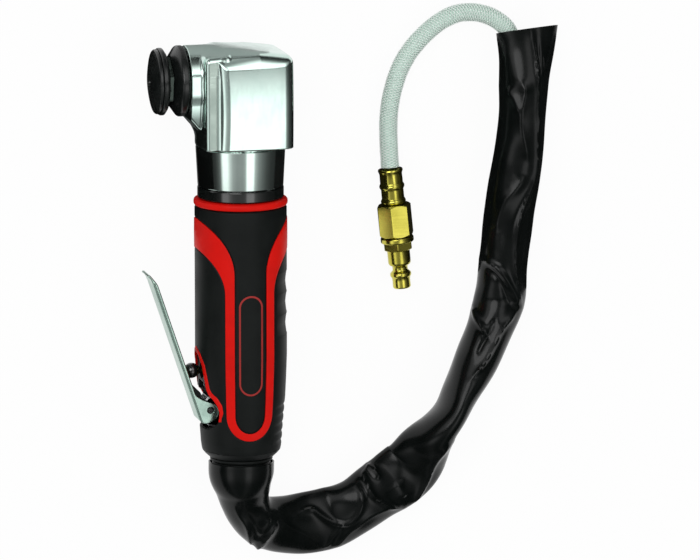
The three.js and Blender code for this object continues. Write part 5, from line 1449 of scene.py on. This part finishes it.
@dataclass
class Collars:
    """The turned steel collar, the gloss black band, the red ring and the exhaust collar."""

    collar: Profile = ((20.6, -36.6), (22.75, -36.6), (22.75, -37.3), (24.5, -37.3, 0.1), (24.7, -37.6, 0.1),
                       (23.6, -58.9, 0.4), (23.2, -59.25, 0.1), (21.3, -59.3), (21.3, -42.0))
    band: Profile = ((21.2, -59.6), (23.5, -59.6, 0.2), (23.8, -60.0, 0.3), (23.8, -65.2, 0.3), (23.4, -65.55, 0.2),
                     (21.2, -65.6))
    ring: Profile = ((21.2, -65.9), (24.1, -65.9, 0.5), (25.7, -66.5, 0.9), (26.0, -67.8, 1.4), (25.8, -69.2, 0.8),
                     (25.1, -69.85, 0.5), (21.2, -69.9))
    exhaust: Profile = ((12.1, -207.3), (15.3, -207.4), (15.3, -211.5), (17.1, -211.55, 0.3), (17.4, -212.0, 0.4),
                        (17.3, -213.0, 0.4), (15.8, -213.6, 0.3), (15.5, -214.4, 0.3), (16.3, -214.9, 0.3),
                        (16.4, -215.6, 0.2), (16.4, -219.6, 0.4), (15.8, -220.1, 0.2), (12.1, -220.2))
    sides: int = 144

    def build(self) -> None:
        """Makes the four turned pieces."""
        made = (("steel_collar", self.collar, COLLAR_STEEL, Slot.STEEL, "coupling_collar"),
                ("gloss_band", self.band, GLOSS_BLACK, Slot.GLOSS, "neck_band"),
                ("red_ring", self.ring, RED_RUBBER, Slot.RED, "grip_ring"),
                ("exhaust_end", self.exhaust, GRIP_RUBBER, Slot.RUBBER, "exhaust_collar"))
        for name, profile, finish, slot, node in made:
            outline = rounded(profile, 5)
            loop = np.vstack([outline, outline[:1]])
            points, _ = turned(loop, Line.HANDLE, self.sides)
            faces = grid_faces(len(loop), self.sides)
            piece(name, points, faces, Body.TOOL, finish.material(), slot, (node,), sharp=32)


@dataclass
class Grip:
    """The black rubber grip, its red ribbon, the recess round the lever and its red edge."""

    top: float = -70.2
    end: float = -211.2
    radius: float = 25.4
    bore: float = 21.15
    profile: Profile = ((0.0, 24.3), (0.35, 24.9), (1.1, 25.4), (83.2, 25.4), (95.0, 24.98), (107.2, 24.4),
                        (116.0, 23.65), (124.1, 22.95), (129.0, 22.6), (132.2, 22.4), (135.5, 21.95), (137.0, 21.6),
                        (138.6, 20.3), (140.4, 18.4), (141.0, 17.6))
    groove_places: tuple[float, ...] = (-112.5, -124.3, -136.1)
    notch_places: tuple[float, ...] = (-182.0, -187.0, -192.0, -197.0, -202.0)
    groove_depth: float = 0.9
    groove_half: float = 5.9
    notch_depth: float = 0.5
    notch_half: float = 1.1
    seam_depth: float = 0.42
    ribbon_inner: float = 9.2
    ribbon_outer: float = 14.4
    ribbon_top: float = -76.6
    ribbon_side: float = 16.4
    inner_sweep: float = 29.4
    outer_sweep: float = 24.0
    foot_outer: float = -198.8
    foot_width: float = 4.1
    loop_depth: float = 9.5
    pin: tuple[float, float] = LEVER_PIN
    ear: float = 8.0
    floor: float = -22.4
    pocket_floor: float = -13.8
    slot_floor: float = -19.5
    trim: float = 2.2
    step: float = 0.5
    fine_step: float = 0.35
    cell: float = 0.25
    soft_edge: float = 0.8
    pocket_top: float = 10.8
    slot_half: float = 6.5
    valve_up: float = 21.4
    valve_bore: float = 4.75
    shell_in: float = 0.4
    shell_half: float = 0.75
    lining_wall: float = 0.8
    lining_top: float = 10.7
    boss_half: float = 6.2
    pin_bore: float = 1.82
    section: Profile = ((0.0, -0.7), (0.0, 0.2), (0.02, 0.27), (0.08, 0.3), (0.5, 0.34), (0.92, 0.3), (0.98, 0.27),
                        (1.0, 0.2), (1.0, -0.7))
    capsule_half: float = 6.3
    capsule_ends: tuple[float, float] = (-166.2, -123.6)
    capsule_line: float = 0.5
    table: dict = field(default_factory=dict)

    def radius_at(self, y: Array) -> Array:
        """Gives the grip's radius along the handle."""
        down, radius = zip(*self.profile)
        return np.interp(self.top - np.asarray(y), down, radius)

    def quarter(self) -> Array:
        """Gives the ribbon's two edges, from the foot of the front loop to the side.

        Returns:
            Pairs of edge points, each the distance round from the front line and the place along.
        """
        side = self.radius * math.pi / 2
        foot_inner = self.foot_outer + self.foot_width
        leg_end = foot_inner + self.loop_depth
        band_end = self.ribbon_top - self.ribbon_side
        inner_top, outer_top = self.ribbon_top - self.inner_sweep, band_end - self.outer_sweep
        pairs = []
        for i in range(21):
            turn = i * math.pi / 40
            sin, cos = math.sin(turn), math.cos(turn)
            pairs.append(((self.ribbon_inner * sin, leg_end + (foot_inner - leg_end) * cos),
                          (self.ribbon_outer * sin, leg_end + (self.foot_outer - leg_end) * cos)))
        for share in np.linspace(0, 1, 14)[1:-1]:
            pairs.append(((self.ribbon_inner, leg_end + share * (inner_top - leg_end)),
                          (self.ribbon_outer, leg_end + share * (outer_top - leg_end))))
        for i in range(29):
            turn = i * math.pi / 56
            sin, cos = math.sin(turn), math.cos(turn)
            pairs.append(((side - (side - self.ribbon_inner) * cos, inner_top + (self.ribbon_top - inner_top) * sin),
                          (side - (side - self.ribbon_outer) * cos, outer_top + (band_end - outer_top) * sin)))
        return np.array(pairs)

    def wrapped(self, strip: list[tuple[Array, float]]) -> Mesh:
        """Lays a closed strip on the grip.

        Args:
            strip: The strip's long lines, as places round and along the grip, each with how proud it stands.

        Returns:
            Points and faces.
        """
        loops = []
        for place, proud in strip:
            angle = place[:, 0] / self.radius
            radius = self.radius_at(place[:, 1]) + proud
            loops.append(np.stack([radius * np.sin(angle), place[:, 1], AXIS_HEIGHT + radius * np.cos(angle)], 1))
        points = np.stack(loops, 1)
        closed = np.concatenate([points, points[:1]])
        return closed.reshape(-1, 3), grid_faces(len(closed), len(loops))

    def ribbon(self) -> Mesh:
        """Makes the ribbon that runs down the front, round the sides and down the back.

        Returns:
            Points and faces.
        """
        right = self.quarter()
        half_round = [self.radius * math.pi, 0]
        left = right[::-1] * [-1, 1]
        pairs = np.concatenate([right, (left + half_round)[1:], (right + half_round)[1:], left[1:-1]])
        return self.wrapped([(pairs[:, 0] * (1 - share) + pairs[:, 1] * share, proud)
                             for share, proud in self.section])

    def recess(self) -> Array:
        """Gives the outline of the recess, seen from the hub's side, as z and y.

        Returns:
            The outline's corners.
        """
        e, y = self.ear, self.pin[1]
        half = [(0.0, y + 32.9), (e - 3, y + 30.4), (e + 0.5, y + 25.4), (e + 2.3, y + 17.4), (e + 3.2, y + 12.4),
                (e + 4.8, y + 9.6), (e + 7.4, y + 7.4), (e + 9.3, y + 4.2), (e + 9.9, y + 0.2), (e + 9.0, y - 4.6),
                (e + 6.0, y - 8.8), (e + 1.5, y - 10.6)]
        return np.array(half + [(-z, place) for z, place in half[:0:-1]])

    def ribbon_gap(self, x: Array, y: Array, z: Array) -> Array:
        """Gives the distance from the ribbon's edge along the grip's surface, from a table.

        Args:
            x: Places across the handle.
            y: Places along it.
            z: Places above its line.

        Returns:
            The distances, negative under the ribbon.
        """
        if not self.table:
            quarter = self.quarter()
            outline = np.concatenate([quarter[:, 0], quarter[::-1, 1]])
            s = np.arange(-8, self.radius * math.pi / 2 + 8, self.cell)
            t = np.arange(self.end - 4, self.top + 4, self.cell)
            ss, tt = np.meshgrid(s, t, indexing="ij")
            mirrored = np.minimum(np.abs(ss), self.radius * math.pi - np.abs(ss))
            self.table.update(s=s, t=t, gap=polygon_distance(mirrored, tt, outline))
        s, t, gap = self.table["s"], self.table["t"], self.table["gap"]
        across = np.abs(np.arctan2(x, z)) * self.radius
        across = np.minimum(across, self.radius * math.pi - across)
        u = np.clip((across - s[0]) / self.cell, 0, len(s) - 1.001)
        v = np.clip((y - t[0]) / self.cell, 0, len(t) - 1.001)
        i, j = u.astype(int), v.astype(int)
        fu, fv = u - i, v - j
        return ((gap[i, j] * (1 - fu) + gap[i + 1, j] * fu) * (1 - fv)
                + (gap[i, j + 1] * (1 - fu) + gap[i + 1, j + 1] * fu) * fv)

    def hollows(self, x: Array, y: Array, z: Array) -> Array:
        """Gives the distance to the recess, the pocket, the slot and the valve's bore together.

        Args:
            x: Places across the handle.
            y: Places along it.
            z: Places above its line.

        Returns:
            The distances, negative inside.
        """
        outline = polygon_distance(z, y, self.recess())
        recess = rounded_max(outline, x - self.floor, self.soft_edge)
        py = self.pin[1]
        pocket = rounded_max(outline + 0.3, y - py - self.pocket_top, 0.5)
        pocket = rounded_max(pocket, x - self.pocket_floor, self.soft_edge)
        slot = np.maximum(np.abs(z) - self.slot_half, slab(y, py + 5.4, py + 15.4))
        slot = np.maximum(slot, x - self.slot_floor)
        valve = np.maximum(np.hypot(y - py - self.valve_up, z) - self.valve_bore, x)
        return np.minimum(np.minimum(recess, pocket), np.minimum(slot, valve))

    def solid(self, x: Array, y: Array, z: Array) -> Array:
        """Gives the distance to the grip.

        Args:
            x: Places across the handle.
            y: Places along it.
            z: Places above its line.

        Returns:
            The distances, negative inside.
        """
        r = np.hypot(x, z)
        ribbon = self.ribbon_gap(x, y, z)
        seam = self.seam_depth * np.exp(-((ribbon - 0.15) / 0.4) ** 2)
        waves = np.zeros_like(r)
        side = np.clip((x / np.maximum(r, 1e-6) - 0.62) / 0.25, 0.0, 1.0)
        away = np.clip((ribbon - 0.8) / 1.2, 0.0, 1.0)
        for place in self.groove_places:
            waves += self.groove_depth * np.clip(1 - np.abs(y - place) / self.groove_half, 0, 1) ** 0.6
        for place in self.notch_places:
            waves += self.notch_depth * np.exp(-((y - place) / self.notch_half) ** 2)
        body = (r - self.radius_at(y)) + seam + waves * side * away
        body = np.maximum(body, slab(y, self.end, self.top))
        bore = np.minimum(np.maximum(r - self.bore, self.end + 4.25 - y), r - 15.6)
        return np.maximum(np.maximum(body, -bore), -self.hollows(x, y, z))

    def surround(self, x: Array, y: Array, z: Array) -> Array:
        """Gives the distance to the red edge of the recess.

        Args:
            x: Places across the handle.
            y: Places along it.
            z: Places above its line.

        Returns:
            The distances, negative inside.
        """
        outline = polygon_distance(z, y, self.recess())
        r = np.hypot(x, z)
        shell = np.abs(r - self.radius_at(y) + self.shell_in) - self.shell_half
        trim = self.trim * np.clip((y - self.pin[1] + 8.0) / 16.0, 0.35, 1.0)
        band = np.maximum(outline - trim, -outline - 0.25)
        ends = np.maximum(self.pin[1] - 5.0 - y, x)
        away = 0.35 - self.ribbon_gap(x, y, z)
        return np.maximum(rounded_max(np.maximum(band, ends), shell, 0.4), away)

    def lining(self, x: Array, y: Array, z: Array) -> Array:
        """Gives the distance to the black skin on the walls of the recess and the pocket.

        Args:
            x: Places across the handle.
            y: Places along it.
            z: Places above its line.

        Returns:
            The distances, negative inside.
        """
        outline = polygon_distance(z, y, self.recess())
        py, inner = self.pin[1], self.pocket_floor - 0.5
        wall = np.maximum(outline + 0.1, -outline - self.lining_wall)
        upper = np.maximum(wall, slab(x, -22.6, inner))
        lid = np.maximum(outline + 0.4, slab(y, py + 10.0, py + self.lining_top))
        lid = np.maximum(lid, slab(x, -22.3, inner))
        r = np.hypot(x, z)
        body = np.minimum(np.maximum(upper, y - py - self.lining_top), lid)
        return np.maximum(np.maximum(body, r - self.radius_at(y) + 0.9), 6.9 - np.abs(z))

    def pin_boss(self, x: Array, y: Array, z: Array) -> Array:
        """Gives the distance to the boss that carries the lever's pin.

        Args:
            x: Places across the handle.
            y: Places along it.
            z: Places above its line.

        Returns:
            The distances, negative inside.
        """
        px, py = self.pin
        outline = np.array([(self.pocket_floor + 1, py + 8), (px - 1.2, py + 7.2), (px - 3.9, py + 3.4),
                            (px - 3.9, py - 4.4), (px - 1, py - 9), (self.pocket_floor + 1, py - 10.2)])
        body = rounded_max(polygon_distance(x, y, outline), np.abs(z) - self.boss_half, 0.7)
        return np.maximum(body, self.pin_bore - np.hypot(x - px, y - py))

    def capsule(self) -> Mesh:
        """Makes the plain thin outline of a capsule that stands on the front, where there is no lettering.

        Returns:
            Points and faces.
        """
        half, wide = self.capsule_half, self.capsule_line
        lower, upper = self.capsule_ends
        down = [i * (upper - lower) / 24 for i in range(1, 24)]
        turns = [math.pi * i / 32 for i in range(33)]
        centre = [(half, lower + part) for part in down]
        centre += [(half * math.cos(turn), upper + half * math.sin(turn)) for turn in turns]
        centre += [(-half, upper - part) for part in down]
        centre += [(half * math.cos(math.pi + turn), lower + half * math.sin(math.pi + turn)) for turn in turns]
        line = np.array(centre)
        ahead = np.roll(line, -1, 0) - np.roll(line, 1, 0)
        out = np.stack([ahead[:, 1], -ahead[:, 0]], 1) / np.linalg.norm(ahead, axis=1)[:, None]
        edge = ((-wide, -0.4), (-wide, 0.06), (0.0, 0.14), (wide, 0.06), (wide, -0.4))
        return self.wrapped([(line + out * across, proud) for across, proud in edge])

    def build(self) -> None:
        """Makes the grip and what is set into it."""
        black, red, fine = GRIP_RUBBER.material(), RED_RUBBER.material(), self.fine_step
        made = meshed(self.solid, (-25.6, self.end, -25.6), (25.6, self.top, 25.6), self.step)
        carved("rubber_grip", made, black, Slot.RUBBER, ("grip_sleeve",))
        piece("red_ribbon", *self.ribbon(), Body.TOOL, red, Slot.RED, ("grip_inlay",), sharp=40)
        made = meshed(self.surround, (-26.0, -192.0, -22.5), (-10.0, -146.0, 22.5), fine)
        carved("red_recess_edge", made, red, Slot.RED, ("lever_surround",))
        made = meshed(self.lining, (-23.0, -195.0, -19.0), (-13.5, -172.0, 19.0), fine)
        carved("recess_lining", made, black, Slot.RUBBER)
        made = meshed(self.pin_boss, (-24.0, -195.0, -6.5), (-12.5, -174.0, 6.5), fine)
        carved("pin_boss", made, black, Slot.RUBBER)
        piece("front_capsule_outline", *self.capsule(), Body.TOOL, DARK_RED.material(), Slot.RED, sharp=40)


@dataclass
class ThrottleLever:
    """The bent sheet lever with its ears, its block, its pin and the valve's ball."""

    pin: tuple[float, float] = LEVER_PIN
    lean_degrees: float = 18.5
    half: float = 8.0
    sheet: float = 1.2
    back: float = -7.6
    step: float = 0.25
    outline: Profile = ((0.0, -7.6), (-4.2, -7.6, 2.0), (-6.9, -4.6, 2.4), (-6.4, 1.6, 3.0), (-1.8, 4.8, 2.6),
                        (2.8, 3.4, 2.2), (7.2, -2.2, 2.0), (10.8, -5.0, 1.6), (77.5, -5.0, 3.0), (81.4, -6.4),
                        (83.9, -7.4, 0.3), (84.3, -8.2, 0.3), (83.8, -9.0, 0.3), (81.6, -7.75, 1.0),
                        (79.0, -7.6, 1.0), (0.0, -7.6))
    block: Profile = ((8.7, -6.1), (8.7, -1.6), (11.0, -1.8), (16.6, -4.6), (17.0, -6.1))
    ball: float = 4.3
    ball_place: tuple[float, float] = (-28.16, -162.0)
    pin_radius: float = 1.8
    pin_hole: float = 1.85
    sheet_edges: tuple[float, float] = (0.6, 0.55)
    back_edge: float = 1.6
    stop_half: float = 5.9
    soft_edge: float = 0.5
    corners: Array = field(init=False)

    def __post_init__(self) -> None:
        """Rounds the corners of the sheet's outline."""
        self.corners = rounded(self.outline, 6)[:-1]

    def in_place(self, made: tuple) -> tuple[Array, list, Array]:
        """Turns a mesh from the lever's own line to its place on the handle.

        Args:
            made: The mesh's points, faces and normals, as along the lever, towards the handle and up.

        Returns:
            Points, faces and normals in the tool's frame.
        """
        lean = math.radians(self.lean_degrees)
        sin, cos = math.sin(lean), math.cos(lean)
        turn = np.array([[-sin, cos, 0.0], [cos, sin, 0.0], [0.0, 0.0, 1.0]])
        points, faces, normals = made
        points = points @ turn + np.array([self.pin[0], self.pin[1], AXIS_HEIGHT])
        return points, [face[::-1] for face in faces], normals @ turn

    def channel(self, along: Array, inward: Array, z: Array) -> Array:
        """Gives the distance to the bent sheet.

        Args:
            along: Places along the lever from its pin.
            inward: Places towards the handle.
            z: Places above or below its middle.

        Returns:
            The distances, negative inside.
        """
        side, rim = self.sheet_edges
        outer = rounded_max(polygon_distance(along, inward, self.corners), np.abs(z) - self.half, side)
        edge = rounded_max(self.back - inward, np.abs(z) - self.half, self.back_edge)
        outer = np.maximum(outer, np.where(along < 79, edge, -9.0))
        room = rounded_max(self.back + self.sheet - inward, np.abs(z) - self.half + self.sheet, self.soft_edge)
        hole = self.pin_hole - np.hypot(along, inward)
        return np.maximum(rounded_max(outer, -room, rim), hole)

    def stop(self, along: Array, inward: Array, z: Array) -> Array:
        """Gives the distance to the rubber block inside the channel."""
        outline = polygon_distance(along, inward, np.array(self.block))
        return rounded_max(outline, np.abs(z) - self.stop_half, self.soft_edge)

    def build(self) -> None:
        """Makes the lever, its block, its pin and the ball that it presses."""
        made = self.in_place(meshed(self.channel, (-7.3, -9.3, -8.2), (84.6, 5.4, 8.2), self.step))
        piece("lever_channel", *made[:2], Body.LEVER, LEVER_STEEL.material(), Slot.LEVER,
              ("throttle_lever",), None, made[2])
        made = self.in_place(meshed(self.stop, (8.4, -6.4, -6.2), (17.3, -1.3, 6.2), self.step))
        piece("lever_stop", *made[:2], Body.LEVER, GRIP_RUBBER.material(), Slot.RUBBER,
              ("lever_block",), None, made[2])
        end, radius = self.half + 0.6, self.pin_radius
        pin = [(0.01, -end), (1.3, -end, 0.1), (radius, -end + 0.4, 0.3), (radius, end - 0.4, 0.3), (1.3, end, 0.1),
               (0.7, end, 0.1), (0.6, end - 0.4, 0.1), (0.01, end - 0.4)]
        points, faces = turned(rounded(pin), Line.SPINDLE, 40, centre=ORIGIN)
        upright = np.stack([points[:, 1] + self.pin[0], points[:, 2] + self.pin[1], points[:, 0] + AXIS_HEIGHT], 1)
        piece("pivot_pin", upright, faces, Body.TOOL, BLACK_STEEL.material(), Slot.BLACK_STEEL, ("lever_pin",))
        ball = [(max(0.01, self.ball * math.sin(a)), -self.ball * math.cos(a)) for a in np.linspace(0, 2.62, 24)]
        ball += [(1.9, 5.2), (0.01, 5.2)]
        mesh = turned(np.array(ball), Line.SPINDLE, 48, centre=(*self.ball_place, AXIS_HEIGHT))
        piece("valve_ball", *mesh, Body.PLUNGER, GLOSS_BLACK.material(), Slot.GLOSS, ("valve_button",))


# --- Fittings on the hose -------------------------------------------------------------------------


@dataclass
class Fittings:
    """The brass ferrule, union nut, adapter and quick plug, in line at the hose's end."""

    place: Triple = (88.9, -56.9, 9.9)
    turn_degrees: float = 5.86
    ferrule: Profile = ((5.3, 0.0), (6.7, 0.0, 0.2), (7.0, -0.9, 0.4), (6.5, -1.9, 0.5), (6.35, -3.0), (6.45, -6.4),
                        (6.4, -8.2, 0.5), (7.0, -9.1, 0.5), (7.0, -10.3, 0.5), (6.3, -11.2, 0.6), (6.35, -15.8),
                        (6.2, -16.6, 0.5), (6.8, -17.4, 0.4), (7.0, -18.4, 0.4), (6.6, -19.6, 0.3), (0.05, -19.6))
    nut_flats: float = 17.0
    nut: Profile = ((0.05, -19.9), (7.4, -19.9, 0.1), (8.45, -20.0, 0.1), (9.9, -21.1), (9.9, -36.9),
                    (8.45, -38.05, 0.1), (0.05, -38.1))
    flange: Profile = ((0.05, -38.4), (8.7, -38.4, 0.3), (9.2, -38.95, 0.4), (9.2, -41.1, 0.4), (8.7, -41.65, 0.3),
                       (0.05, -41.7))
    hex_flats: float = 15.2
    hexagon: Profile = ((0.05, -41.6), (8.8, -41.6), (8.8, -44.9), (7.55, -45.85, 0.1), (0.05, -45.9))
    plug: Profile = ((0.05, -46.2), (6.3, -46.2, 0.1), (6.3, -53.2, 0.3), (5.9, -54.3, 0.5), (4.3, -55.2, 0.8),
                     (4.2, -57.6, 0.8), (5.4, -58.6, 0.5), (5.9, -59.3, 0.5), (5.9, -60.7, 0.5), (5.2, -61.6, 0.6),
                     (4.95, -63.0, 0.6), (5.0, -67.0, 0.2), (4.5, -67.75, 0.3), (3.2, -67.8, 0.2), (3.0, -66.8, 0.3),
                     (3.0, -54.0), (0.05, -54.0))
    crimps: int = 8
    crimp_depth: float = 0.16

    def set_in_line(self, points: Array) -> Array:
        """Turns and moves points from the fittings' own line to their place.

        Args:
            points: The points.

        Returns:
            The moved points.
        """
        turn = math.radians(self.turn_degrees)
        x = points[:, 0] * math.cos(turn) - points[:, 1] * math.sin(turn)
        y = points[:, 0] * math.sin(turn) + points[:, 1] * math.cos(turn)
        return np.stack([x, y, points[:, 2]], 1) + np.array(self.place)

    def build(self) -> None:
        """Makes the crimped ferrule and the four fittings behind it."""
        brass = BRASS.material()
        points, faces = turned(rounded(self.ferrule), Line.HANDLE, 96, centre=ORIGIN)
        angle = np.arctan2(points[:, 2], points[:, 0])
        y = points[:, 1]
        in_crimp = ((y < -2.4) & (y > -8.0)) | ((y < -11.4) & (y > -16.2))
        wave = 1 - np.abs(np.cos(self.crimps * angle / 2 + 0.4)) ** 0.7
        dent = np.where(in_crimp, self.crimp_depth * wave, 0.0)
        points[:, [0, 2]] *= (1 - dent / np.maximum(np.hypot(points[:, 0], points[:, 2]), 1e-6))[:, None]
        made = [("crimped_ferrule", (points, faces), "hose_ferrule", 30)]
        level = math.radians(90)
        parts = (("swivel_nut", self.nut, hexagon(self.nut_flats, level + 0.06), "union_nut"),
                 ("adapter_flange", self.flange, None, "hose_adapter"),
                 ("adapter_hexagon", self.hexagon, hexagon(self.hex_flats, level + 0.3), "hose_adapter"),
                 ("quick_plug_body", self.plug, None, "quick_plug"))
        for name, profile, shape, node in parts:
            outline = rounded(profile, 5)
            if shape:
                outline = dense_ends(outline)
            made.append((name, turned(outline, Line.HANDLE, 144, shape, ORIGIN), node, 24))
        for name, (points, faces), node, sharp in made:
            piece(name, self.set_in_line(points), faces, Body.TOOL, brass, Slot.BRASS, (node,), sharp)


def dense_ends(profile: Array, steps: int = 10) -> Array:
    """Adds points along a hexagon's end bevels, so that the arcs where they meet the flats come out smooth.

    Args:
        profile: The nut's profile.
        steps: Pieces in each bevel.

    Returns:
        The denser profile.
    """
    out = [profile[0]]
    for a, b in zip(profile, profile[1:]):
        count = steps if abs(b[0] - a[0]) > 0.8 and abs(b[1] - a[1]) > 0.5 else 1
        out += [a + (b - a) * i / count for i in range(1, count + 1)]
    return np.array(out)


# --- Pieces inside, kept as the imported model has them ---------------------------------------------


@dataclass
class InnerWorks:
    """The gears, the motor and the valve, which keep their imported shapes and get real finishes."""

    finishes: dict = field(default_factory=lambda: {
        HOUSING_ALUMINIUM: ("motor_housing",),
        VANE_FIBRE: ("vane_1", "vane_2", "vane_3", "vane_4"),
        COLLAR_STEEL: ("planet_pin_1", "planet_pin_2", "planet_pin_3", "rotor_bearing_front", "rotor_bearing_rear",
                       "cylinder_liner"),
        BLACK_STEEL: ("bearing_circlip",),
        BRASS: ("valve_stem", "valve_bush", "inlet_nipple", "inner_ferrule"),
        GRIP_RUBBER: ("valve_seal",),
        GROUND_STEEL: ("spindle", "front_bearing_outer", "front_bearing_inner", "rear_bearing", "bevel_gear",
                       "bevel_pinion", "pinion_bearing", "planet_carrier", "ring_gear", "planet_gear_1",
                       "planet_gear_2", "planet_gear_3", "rotor", "front_end_plate", "rear_end_plate",
                       "valve_spring"),
    })

    def build(self) -> None:
        """Gives each inner piece its finish."""
        for finish, nodes in self.finishes.items():
            material = finish.material()
            for name in nodes:
                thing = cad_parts[name]
                thing.data.materials.clear()
                thing.data.materials.append(material)
                log.info("%s: %s", name, finish.name)


def main() -> None:
    """Builds the studio and the tool, piece by piece."""
    studio = Studio()
    studio.build()
    Fittings().build()
    AirHose().build()
    OverHose(studio).build()
    Head().build()
    ClampingHub().build()
    Collars().build()
    Grip().build()
    ThrottleLever().build()
    InnerWorks().build()


if __name__ == "__main__":
    main()
